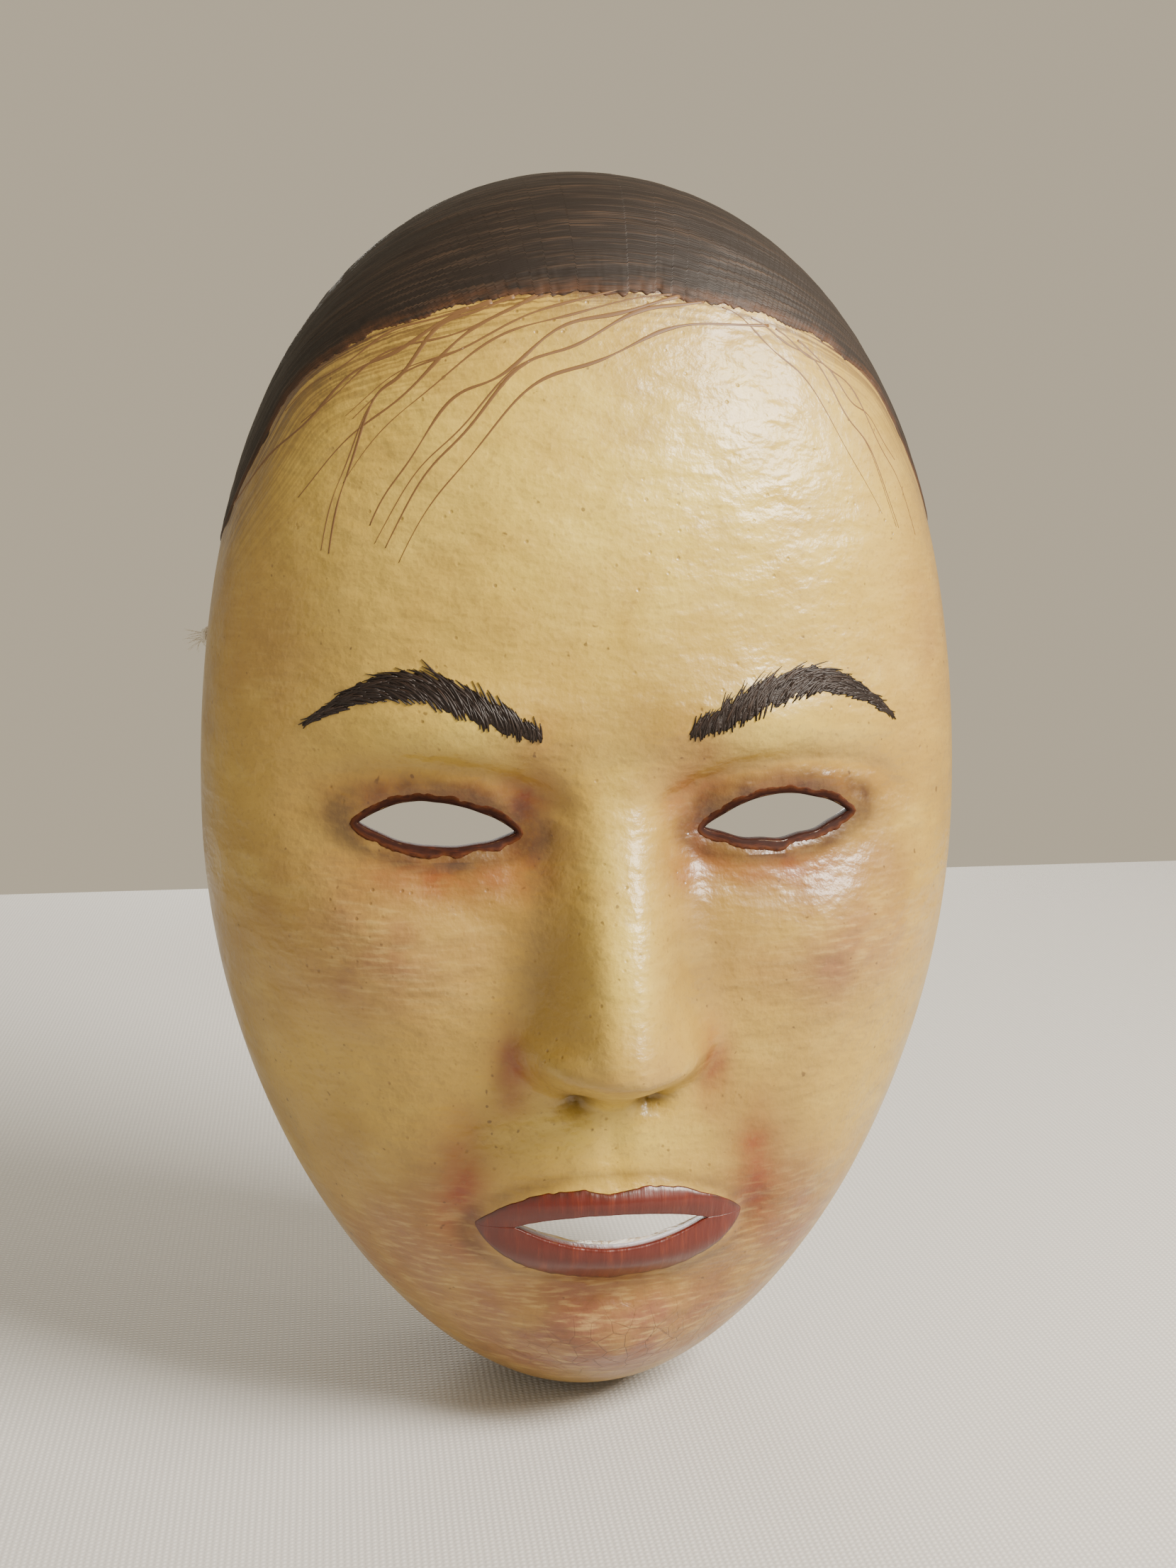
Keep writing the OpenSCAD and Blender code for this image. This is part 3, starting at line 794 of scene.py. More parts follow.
class Layers:
    """A material built up in layers, as the maker did: a ground, washes over it, and relief."""

    def __init__(self, name: str, ground: str, fixed: dict[str, float]) -> None:
        """Starts with an even ground.

        Args:
            name: the real material and how its surface was made.
            ground: the hex colour that everything else is laid over.
            fixed: values that are the same all over, by the shader's socket names.
        """
        self.material = bpy.data.materials.new(name)
        self.material.use_nodes = True
        self.tree = self.material.node_tree
        self.tree.nodes.clear()
        self.bsdf = add_node(self.tree, "ShaderNodeBsdfPrincipled", fixed)
        add_node(self.tree, "ShaderNodeOutputMaterial", links={"Surface": self.bsdf})
        self.colour: bpy.types.NodeSocket | None = None
        self.height: bpy.types.NodeSocket | None = None
        self.ground = linear(ground)

    def pattern(
        self,
        size: Triple,
        levels: Pair,
        to: Pair = (0.0, 1.0),
        along: str = "",
        kind: str = "ShaderNodeTexNoise",
        settings: dict | None = None,
        out: str = "Fac",
    ) -> bpy.types.NodeSocket:
        """A pattern of a real size: scaled coordinates, a texture, and its levels carried over.

        Args:
            size: how many millimetres one unit of the pattern is, each way.
            levels: the two levels of the texture that become the two of `to`.
            to: the new levels.
            along: the mark with coordinates in millimetres, or the mask's own frame if empty.
            kind: the texture node's type.
            settings: the texture's own settings.
            out: the texture's output.

        Returns:
            The amount at each place, held between the two new levels.
        """
        if along:
            here = add_node(self.tree, "ShaderNodeAttribute", {"attribute_name": along}, out="Vector")
            scale = tuple(1.0 / side for side in size)
        else:
            here = add_node(self.tree, "ShaderNodeTexCoord", out="Object")
            scale = tuple(1.0 / (side * MM) for side in size)
        here = add_node(self.tree, "ShaderNodeMapping", {"Scale": scale}, {"Vector": here})
        own = {"Scale": 1.0} | (settings or {})
        found = add_node(self.tree, kind, own, {"Vector": here}, out)
        ends = {"From Min": levels[0], "From Max": levels[1], "To Min": to[0], "To Max": to[1]}
        return add_node(self.tree, "ShaderNodeMapRange", ends, {"Value": found})

    def product(self, *amounts: bpy.types.NodeSocket | str | float) -> bpy.types.NodeSocket:
        """Amounts multiplied together.

        Args:
            amounts: sockets, names of marks, or plain numbers; the first is not a number.

        Returns:
            The product at each place.
        """
        result = None
        for amount in amounts:
            if isinstance(amount, str):
                amount = add_node(self.tree, "ShaderNodeAttribute", {"attribute_name": amount}, out="Fac")
            if result is None:
                result = amount
                continue
            settings, links = {"operation": "MULTIPLY"}, {0: result}
            (settings if isinstance(amount, float) else links)[1] = amount
            result = add_node(self.tree, "ShaderNodeMath", settings, links)
        return result

    def lay(self, colour: str, *amounts: bpy.types.NodeSocket | str | float) -> None:
        """Lays a colour over what is there.

        Args:
            colour: its hex value.
            amounts: how much of it shows at each place, as a product.
        """
        settings = {"data_type": "RGBA", 6: self.ground, 7: linear(colour)}
        links = {0: self.product(*amounts)}
        if self.colour is not None:
            links[6] = self.colour
        self.colour = add_node(self.tree, "ShaderNodeMix", settings, links, 2)

    def emboss(self, height: float, *amounts: bpy.types.NodeSocket | str | float) -> None:
        """Adds relief too fine for the mesh.

        Args:
            height: its height in millimetres, negative for a hollow.
            amounts: its shape, as a product.
        """
        own = self.product(*amounts, height * MM)
        if self.height is not None:
            own = add_node(self.tree, "ShaderNodeMath", links={0: own, 1: self.height})
        self.height = own

    def done(self, roughness: bpy.types.NodeSocket | None = None) -> bpy.types.Material:
        """Joins the colour, the relief and the roughness to the shader.

        Args:
            roughness: the roughness at each place, if it varies.

        Returns:
            The finished material.
        """
        shader = self.bsdf.node.inputs
        self.tree.links.new(self.colour, shader["Base Color"])
        if roughness is not None:
            self.tree.links.new(roughness, shader["Roughness"])
        if self.height is not None:
            bump = add_node(self.tree, "ShaderNodeBump", {"Distance": 1.0}, {"Height": self.height})
            self.tree.links.new(bump, shader["Normal"])
            self.tree.links.new(bump, shader["Coat Normal"])
        return self.material


@dataclass(frozen=True)
class VarnishedSkin:
    """Pressed paper under a chalk ground, painted in brushed colour and varnished by hand.

    The ground leaves pits and brush ripples. A warm wash lies in the creases and hollows,
    painted shade darkens the hollows, the openings' edges and the rim, and painted highlight
    lightens the high places; the satin varnish gives broad soft lights. Each wash or painted
    light: the mark that places it, its colour, the size of its clouds in millimetres, and how
    strongly it covers.
    """

    skin: str = "#B7963D"
    washes: tuple[tuple[str, str, float, float], ...] = (
        # painted highlight: paler paint on the high places of the face
        ("cream", "#DBC156", 9.0, 1.0),
        # painted shade: darker in the eye sockets and beside the nose, and darker towards the rim
        ("ochre", "#80632C", 13.0, 0.9),
        ("rose", "#87573A", 10.0, 1.1),
        # a warm wash in the creases and hollows, which also paints their shade
        ("orange", "#803C12", 6.0, 1.1),
        # painted shade: dark round the openings, in the nostrils and round the lips, and darker at the rim
        ("umber", "#40220F", 5.0, 0.90),
    )
    scumble: Triple = (5.5, 5.5, 0.9)
    ripple: Triple = (7.0, 7.0, 3.0)
    dab: Triple = (8.0, 8.0, 5.0)
    grain: float = 0.9
    pit: float = 2.6
    speck: float = 1.5
    crack: float = 4.2

    def make(self) -> bpy.types.Material:
        """Lays ground, each wash with the painted shade and highlight, stray hair strokes, pits, specks,
        cracks and varnish, in that order.

        Returns:
            The material.
        """
        fixed = {"Coat Weight": 0.36, "Coat Roughness": 0.22, "IOR": 1.5}
        layers = Layers("pressed paper, brushed washes, satin varnish", self.skin, fixed)
        layers.lay("#A08036", layers.pattern((24.0,) * 3, (0.45, 0.75)))
        layers.lay("#D2B558", layers.pattern((15.0, 15.0, 7.0), (0.55, 0.80), settings={"Detail": 5.0}), 0.6)
        # some of these are painted light: painted highlight on the high places, painted shade in the hollows,
        # creases and at the rim
        for label, colour, size, cover in self.washes:
            uneven = layers.pattern((size,) * 3, (0.25, 0.75), (0.40, 1.25), settings={"Detail": 5.0})
            layers.lay(colour, label, uneven, cover)
        scumble = layers.pattern(self.scumble, (0.52, 0.66), settings={"Detail": 5.0})
        layers.lay("#D9BD74", scumble, "rose", 0.34)
        darker = layers.pattern(self.scumble, (0.46, 0.34), settings={"Detail": 5.0})
        layers.lay("#5A3418", darker, "rose", 0.26)
        brushed = layers.pattern((34.0, 0.8, 1.0), (0.44, 0.54), along="comb", settings={"Detail": 4.0})
        layers.lay("#4A2C14", brushed, "feather")
        layers.lay("#7E6030", layers.pattern((self.grain,) * 3, (0.55, 0.70)), 0.25)
        near = {"kind": "ShaderNodeTexVoronoi", "out": "Distance"}
        pits = layers.product(
            layers.pattern((self.pit,) * 3, (0.16, 0.06), **near), layers.pattern((14.0,) * 3, (0.48, 0.62))
        )
        layers.lay("#69491F", pits, 0.5)
        layers.lay("#432813", layers.pattern((self.speck,) * 3, (0.74, 0.80), settings={"Detail": 1.0}), 0.6)
        edges = near | {"settings": {"feature": "DISTANCE_TO_EDGE"}}
        cracks = layers.product(layers.pattern((self.crack,) * 3, (0.035, 0.008), **edges), "crackle")
        layers.lay("#4F301F", cracks, 0.6)
        layers.emboss(0.13, layers.pattern(self.ripple, (0.30, 0.70)))
        layers.emboss(0.30, layers.pattern(self.dab, (0.30, 0.70)))
        layers.emboss(0.045, layers.pattern((self.grain,) * 3, (0.30, 0.70)))
        layers.emboss(-0.10, pits)
        layers.emboss(-0.07, cracks)
        return layers.done(layers.pattern((11.0,) * 3, (0.2, 0.8), (0.30, 0.62)))


@dataclass(frozen=True)
class BrushedPaint:
    """Pigment brushed over the varnish: streaks along the stroke, thin at the edges.

    The piece's `comb` mark holds the way along the stroke, the way across it and the way in
    from the paint's edge, all in millimetres.
    """

    name: str
    body: str
    streak: str
    edge: str
    streak_l: float
    streak_w: float
    edge_w: float
    cover: float = 0.8
    coat: float = 0.0
    roughness: float = 0.5
    gloss: float = 0.5
    relief: float = 1.0

    def make(self) -> bpy.types.Material:
        """Lays the body, two sizes of streak, and the thin edge.

        Returns:
            The material.
        """
        fixed = {"Roughness": self.roughness, "Specular IOR Level": self.gloss}
        fixed |= {"Coat Weight": self.coat, "Coat Roughness": 0.25}
        layers = Layers(self.name, self.body, fixed)
        detail = {"Detail": 4.0}
        broad = layers.pattern(
            (self.streak_l, self.streak_w, 40.0), (0.46, 0.66), along="comb", settings=detail
        )
        thin = layers.pattern((self.streak_l / 2, self.streak_w / 3.5, 9.0), (0.40, 0.70), along="comb")
        layers.lay(self.streak, broad, thin, self.cover)
        rubbed = layers.pattern(
            (self.streak_l / 3, self.streak_w, 9.0), (0.30, 0.62), along="comb", settings=detail
        )
        comb = add_node(layers.tree, "ShaderNodeAttribute", {"attribute_name": "comb"}, out="Vector")
        way_in = add_node(layers.tree, "ShaderNodeSeparateXYZ", links={0: comb}, out="Z")
        ends = {"From Min": self.edge_w, "From Max": 0.0}
        layers.lay(self.edge, add_node(layers.tree, "ShaderNodeMapRange", ends, {"Value": way_in}), rubbed)
        layers.emboss(0.10 * self.relief, broad)
        layers.emboss(0.05 * self.relief, thin)
        return layers.done()


@dataclass(frozen=True)
class TornPaper:
    """Soft handmade paper, torn and pasted down: matt, blotched by paste, with felted fibres.

    The piece's `tone` mark gives each strip its own shade.
    """

    name: str
    paper: str
    dark: str
    stain: str
    fibre: float = 0.55
    roughness: float = 0.88

    def make(self) -> bpy.types.Material:
        """Lays each strip's shade, paste stains and fibres.

        Returns:
            The material.
        """
        layers = Layers(self.name, self.paper, {"Roughness": self.roughness})
        layers.lay(self.dark, "tone")
        layers.lay(self.stain, layers.pattern((17.0,) * 3, (0.48, 0.74), settings={"Detail": 5.0}), 0.55)
        detail = {"Detail": 4.0}
        felt = layers.pattern((self.fibre * 4, self.fibre * 4, self.fibre), (0.35, 0.70), settings=detail)
        cross = layers.pattern((self.fibre, self.fibre * 3, self.fibre * 4), (0.40, 0.75), settings=detail)
        layers.lay(self.dark, felt, 0.30)
        layers.emboss(0.06, felt)
        layers.emboss(0.06, cross)
        return layers.done()


@dataclass(frozen=True)
class WovenCloth:
    """Plain-woven cloth: a fine square weave with a dusty sheen and marks of handling.

    Threads are drawn a little coarser than real ones, so that they show.
    """

    name: str
    cloth: str
    shade: str
    stain: str
    thread: float
    ways: tuple[str, str] = ("X", "Z")

    def make(self) -> bpy.types.Material:
        """Lays warp and weft as two crossed rows of rounded ribs, with painted shade between them, then the
        marks.

        The wave texture repeats every pi / 10 units, so this scale gives one rib a thread.

        Returns:
            The material.
        """
        fixed = {"Roughness": 0.92, "Sheen Weight": 0.25, "Sheen Roughness": 0.5}
        layers = Layers(self.name, self.cloth, fixed)
        ribs = []
        for way in self.ways:
            wave = {"bands_direction": way, "Scale": math.pi / 10, "Distortion": 0.35, "Detail": 1.0}
            size = (self.thread,) * 3
            ribs.append(layers.pattern(size, (0.0, 1.0), kind="ShaderNodeTexWave", settings=wave))
        weave = layers.product(*ribs)
        # the shade colour is painted shade: it darkens the gaps where the ribs run low
        ends = {"From Min": 0.50, "From Max": 0.02, "To Max": 0.75}
        layers.lay(self.shade, add_node(layers.tree, "ShaderNodeMapRange", ends, {"Value": weave}))
        layers.lay(self.stain, layers.pattern((12.0,) * 3, (0.50, 0.80)), 0.35)
        layers.emboss(0.14, weave)
        return layers.done()


@dataclass(frozen=True)
class BraidedElastic:
    """Round elastic in a braided cotton sleeve: soft off-white yarn, slightly furred."""

    yarn: str = "#EDE8DC"
    shade: str = "#B5AB94"

    def make(self) -> bpy.types.Material:
        """Lays the shade between the yarns, which the `groove` mark gives, and a light fur.

        Returns:
            The material.
        """
        fixed = {"Roughness": 0.85, "Sheen Weight": 0.3, "Sheen Roughness": 0.4}
        layers = Layers("braided cotton elastic", self.yarn, fixed)
        layers.lay(self.shade, "groove")
        furred = layers.pattern((0.35,) * 3, (0.35, 0.65))
        layers.lay(self.shade, furred, 0.25)
        layers.emboss(0.03, furred)
        return layers.done()


# ---- the shell ----


@dataclass(frozen=True)
class Opening:
    """One opening of the mask: an outline with two pointed ends, cut by hand.

    At a turn t the outline is half the length times cos t across, and the rise or the fall
    times a power of |sin t| up. A slow cloud of a fifth of a millimetre makes it hand-cut.
    """

    form: FaceForm
    middle: Pair
    length: float
    rise: float
    fall: float
    slant: float
    seed: int
    wobble: float = 0.22
    wobble_size: float = 3.5
    cut_depths: Pair = (-120.0, -20.0)

    def outline(self, steps: int, out: Array | float = 0.0) -> tuple[Array, Array]:
        """Even steps round the opening, moved out of it.

        Args:
            steps: how many.
            out: the distance out, one for all or one for each step.

        Returns:
            The places across and up.
        """
        t = np.linspace(0.0, 2 * np.pi, 1601)
        height = np.abs(np.sin(t)) ** self.form.corner_power * np.where(np.sin(t) > 0, self.rise, -self.fall)
        flat = np.stack([self.length / 2 * np.cos(t), height], axis=-1)
        spots = follow(flat, np.linspace(0.0, run(flat)[-1], steps, endpoint=False))
        ahead = unit(np.roll(spots, -2, axis=0) - np.roll(spots, 2, axis=0))
        a, b = spots.T
        out = out + self.wobble * cloud(a, b, self.wobble_size, self.seed)
        a, b = a + out * ahead[:, 1], b - out * ahead[:, 0]
        c, s = math.cos(math.radians(self.slant)), math.sin(math.radians(self.slant))
        return self.middle[0] + c * a - s * b, self.middle[1] + s * a + c * b

    def prism(self, out: float, steps: int = 120) -> Skin:
        """The opening carried through the mask from front to back, to cut with.

        Args:
            out: how much wider than the opening.
            steps: corners of its outline.

        Returns:
            The vertices and the faces.
        """
        x, z = self.outline(steps, out)
        return loft(np.stack([np.stack([x, np.full(steps, y), z], axis=-1) for y in self.cut_depths]))


def openings(form: FaceForm) -> dict[str, Opening]:
    """The two eyes and the mouth.

    Args:
        form: the face.

    Returns:
        The openings by name.
    """
    eye, mouth = (form.eye_l, form.eye_up, form.eye_down), (form.mouth_l, form.mouth_up, form.mouth_down)
    found = {}
    for side in Side:
        middle, slant = (side.value * form.eye_at[0], form.eye_at[1]), side.value * form.eye_slant
        found[f"eye_{side.word}"] = Opening(form, middle, *eye, slant, 11 + side.value)
    found["mouth"] = Opening(form, (0.0, form.mouth_z), *mouth, 0.0, 15)
    return found


def disc(across: int, up: int, rim: float) -> tuple[Array, Array]:
    """A square grid bent into a disc: each side shortened by half the other's square.

    Args:
        across: cells across, which stand closer in the middle of the face.
        up: cells up.
        rim: the disc's radius.

    Returns:
        p and q of each grid point.
    """
    u, v = np.linspace(-1, 1, across + 1), np.linspace(-1, 1, up + 1)
    u, v = (0.8 * t + 0.2 * t**3 for t in (u, v))
    u, v = np.meshgrid(u, v, indexing="ij")
    return rim * u * np.sqrt(1 - v * v / 2), rim * v * np.sqrt(1 - u * u / 2)


def cut(piece: bpy.types.Object, prisms: list[Skin]) -> None:
    """Cuts prisms out of a closed piece and keeps the cut's edges crisp.

    Args:
        piece: the closed piece.
        prisms: what to take away.
    """
    knife = make_piece("knife", *joined(prisms))
    change = piece.modifiers.new("openings", "BOOLEAN")
    change.operation, change.solver, change.object = "DIFFERENCE", "EXACT", knife
    settle(piece)
    bpy.data.objects.remove(knife)
    piece.data.set_sharp_from_angle(angle=CRISP_PAPER)


@dataclass
class Shell:
    """The pressed paper wall, painted, and the torn paper pasted inside it."""

    form: FaceForm
    holes: dict[str, Opening]
    across: int = 208
    up: int = 296
    lining_grow: float = 0.8
    strips: int = 64
    strip_w: Pair = (17.0, 27.0)
    strip_l: Pair = (40.0, 70.0)
    strip_t: float = 0.16
    strip_cells: tuple[int, int] = (44, 16)
    strip_rim: float = 1.065
    strip_far: float = 1.35
    strip_clear: Pair = (2.5, 8.0)
    unrolled: Pair = (104.0, 150.0)

    def washes(self, x: Array, z: Array) -> dict[str, Array]:
        """Where each wash, painted shade and painted highlight lies, as sums of soft hills held between 0 and
        1.

        Args:
            x: places across.
            z: places up.

        Returns:
            The amount of each wash, painted shade and painted highlight at each place.
        """
        f = self.form
        eye_x, eye_z = f.eye_at
        wing_x, wing_z = f.wing_at
        corner = f.lips_l / 2 + 3
        reach = np.hypot(x / (f.rim_w / 2), z / (f.rim_h / 2))
        # Painted highlight on the high places: forehead, nose ridge, brow ridges, cheekbones and above the
        # lip.
        cream = (
            0.9 * hill(x, z, (4, f.forehead_z), (46, 26))
            + 0.9 * hill(x, z, (0, -14), (5, 26))
            + 0.5 * hills(x, z, f.ridge_at, (14, 5))
            + 0.6 * hills(x, z, (eye_x + 3, -17), (11, 6))
            + 0.5 * hill(x, z, (0, f.mouth_z + 17), (16, 6))
        )
        # Painted shade in the eye sockets, beside the nose, beside the mouth and between the brows, and
        # darker towards the rim.
        ochre = (
            0.8 * hills(x, z, (wing_x + 2, -22), (8, 18))
            + 0.8 * hills(x, z, (eye_x, eye_z - 2), (20, 13))
            + 0.9 * hills(x, z, (33, -62), (12, 18))
            + 0.6 * hill(x, z, (0, f.bridge_z + 8), (12, 9))
            + 0.7 * soft((reach - 0.80) / 0.25)
        )
        rose = (
            1.1 * hill(x, z, (0, f.chin_z + 3), (34, 17))
            + 0.7 * hills(x, z, (36, -78), (16, 14))
            + 0.75 * hills(x, z, f.cheek_at, (18, 14))
            + 0.35 * hill(x, z, (0, f.tip_z), (9, 8))
            + 0.30 * hills(x, z, f.temple_at, (10, 22))
        )
        # A warm wash that lies in the creases and hollows round the eyes, nose and mouth, where it also
        # paints their shade.
        orange = (
            0.75 * hills(x, z, (eye_x + 1, eye_z + 5), (17, 5))
            + 0.75 * hills(x, z, (eye_x, eye_z - 8), (16, 4))
            + 0.65 * hills(x, z, (eye_x / 2 - 1, eye_z), (5, 11))
            + 0.90 * hills(x, z, (wing_x + 6, wing_z - 1), (3.2, 8))
            + 0.80 * hills(x, z, (corner, f.mouth_z + 3), (5, 9))
            + 0.50 * hills(x, z, (27, -58), (4, 9))
            + 0.45 * hill(x, z, (0, f.fold_z), (19, 3.5))
            + 0.30 * hills(x, z, (14, 19), (6, 6))
        )
        eye = f.eye_reach(x, z)
        mouth = np.hypot(x / (f.lips_l / 2 + 1.5), (z - f.mouth_z + 1.5) / (f.lip_down - 1.0))
        # Painted shade round the eye openings, in the nostrils and in a thin ring round the lips, and darker
        # at the very rim.
        umber = (
            0.85 * np.exp(-((np.maximum(eye - 1.25, 0.0) / 0.22) ** 2))
            + 0.80 * hills(x, z, f.nostril_at, (3.6, 2.6))
            + 0.55 * np.exp(-(((mouth - 1.0) / 0.09) ** 2))
            + 0.35 * soft((reach - 0.95) / 0.08)
        )
        crackle = hill(x, z, (4, f.chin_z - 1), (19, 9))
        found = dict(cream=cream, ochre=ochre, rose=rose, orange=orange, umber=umber, crackle=crackle)
        return {label: np.clip(amount, 0.0, 1.0) for label, amount in found.items()}

    def build_wall(self, hair: "HairPaint") -> bpy.types.Object:
        """The wall from its worked outside to its plain inside, with the openings cut through.

        Args:
            hair: the hair, whose dry brush strays on to the skin.

        Returns:
            The dressed shell.
        """
        rim = 1.0 + self.form.lip
        outer = self.form.surface(*disc(self.across, self.up, rim))
        inner = self.form.surface(
            *disc(self.across // 2, self.up // 2, rim), -self.form.wall, Wall.INSIDE
        )
        inner[[0, -1], :, 1] = -self.form.tape
        inner[:, [0, -1], 1] = -self.form.tape
        piece = make_piece("moulded_face_shell", *wall_between(outer, inner))
        cut(piece, [hole.prism(0.0) for hole in self.holes.values()])
        here = places(piece)
        x, z = here[:, 0], here[:, 2]
        comb, feather = hair.strays(x, z)
        mark(piece, self.washes(x, z) | {"comb": comb, "feather": feather})
        return dress(piece, VarnishedSkin().make(), "painted_shell", "face_shell")

    def strip(self, rng: np.random.Generator, lift: float) -> Skin | None:
        """One torn strip pasted to the inside, or nothing where it would cross an opening.

        The strip is a grid turned to a random way on the unrolled inside, with torn edges.

        Args:
            rng: where its place and outline come from.
            lift: how far it stands off the wall.

        Returns:
            The vertices and the faces.
        """
        long, wide = rng.uniform(*self.strip_l), rng.uniform(*self.strip_w)
        r, way, spin = math.sqrt(rng.uniform(0.0, 1.0)), rng.uniform(0, 2 * np.pi), rng.uniform(0, np.pi)
        seed = int(rng.integers(1 << 16))
        a, b = (np.linspace(-1, 1, cells + 1) for cells in self.strip_cells)
        a, b = np.meshgrid(a, b, indexing="ij")
        torn = 1.0 + 0.10 * cloud(a * 9, np.sign(b) * 7.0, 1.0, seed) + 0.05 * cloud(a * 40, b * 3, 1.0, seed)
        ends = 1.0 + 0.06 * cloud(b * 7, np.sign(a) * 5.0, 1.0, seed + 1)
        s, t = a * ends * long / 2, b * torn * wide / 2
        across, up = s * math.cos(spin) - t * math.sin(spin), s * math.sin(spin) + t * math.cos(spin)
        p = r * math.cos(way) + across / self.unrolled[0]
        q = r * math.sin(way) + up / self.unrolled[1]
        far = np.hypot(p, q)
        held = np.minimum(far, self.strip_rim) / np.maximum(far, 1e-9)
        p, q = p * held, q * held
        if far.max() > self.strip_far:
            return None
        top = self.form.surface(p, q, -lift - self.strip_t, Wall.INSIDE)
        for hole in self.holes.values():
            off_x = (top[..., 0] - hole.middle[0]) / (hole.length / 2 + self.strip_clear[0])
            off_z = (top[..., 2] - hole.middle[1]) / self.strip_clear[1]
            if np.hypot(off_x, off_z).min() < 1.0:
                return None
        bottom = self.form.surface(p, q, -lift + 0.25, Wall.INSIDE)
        return loft(np.concatenate([top, bottom[:, ::-1]], axis=1))

    def build_lining(self) -> bpy.types.Object:
        """The pasted lining: an even layer with its own openings, under overlapping torn strips.

        Returns:
            The dressed layer.
        """
        rim = 1.0 + self.form.lip
        deep = self.form.wall + self.form.lining
        outer = self.form.surface(*disc(self.across, self.up, rim), -self.form.wall, Wall.INSIDE)
        inner = self.form.surface(*disc(self.across // 2, self.up // 2, rim), -deep, Wall.INSIDE)
        for sheet in (outer, inner):
            sheet[[0, -1], :, 1] = -self.form.tape
            sheet[:, [0, -1], 1] = -self.form.tape
        base = make_piece("torn_paper_lining", *wall_between(outer, inner))
        cut(base, [hole.prism(self.lining_grow) for hole in self.holes.values()])
        rng = np.random.default_rng(41)
        found: list[Skin] = []
        tones: list[Array] = []
        while len(found) < self.strips:
            strip = self.strip(rng, deep + rng.uniform(0.0, 0.22))
            if strip is not None:
                found.append(strip)
                tones.append(np.full(len(strip[0]), rng.uniform(0.0, 0.65)))
        torn = make_piece("torn_paper_strips", *joined(found), {"tone": np.concatenate(tones)})
        torn.data.set_sharp_from_angle(angle=CRISP_PAPER)
        paper = TornPaper("handmade paper, torn and pasted", "#D6C8A6", "#B09A6E", "#937A4C").make()
        mark(base, {"tone": np.full(len(base.data.vertices), 0.4)})
        dress(torn, paper, "lining_paper")
        return dress(base, paper, "lining_paper", "paper_lining")


# ---- the rim ----


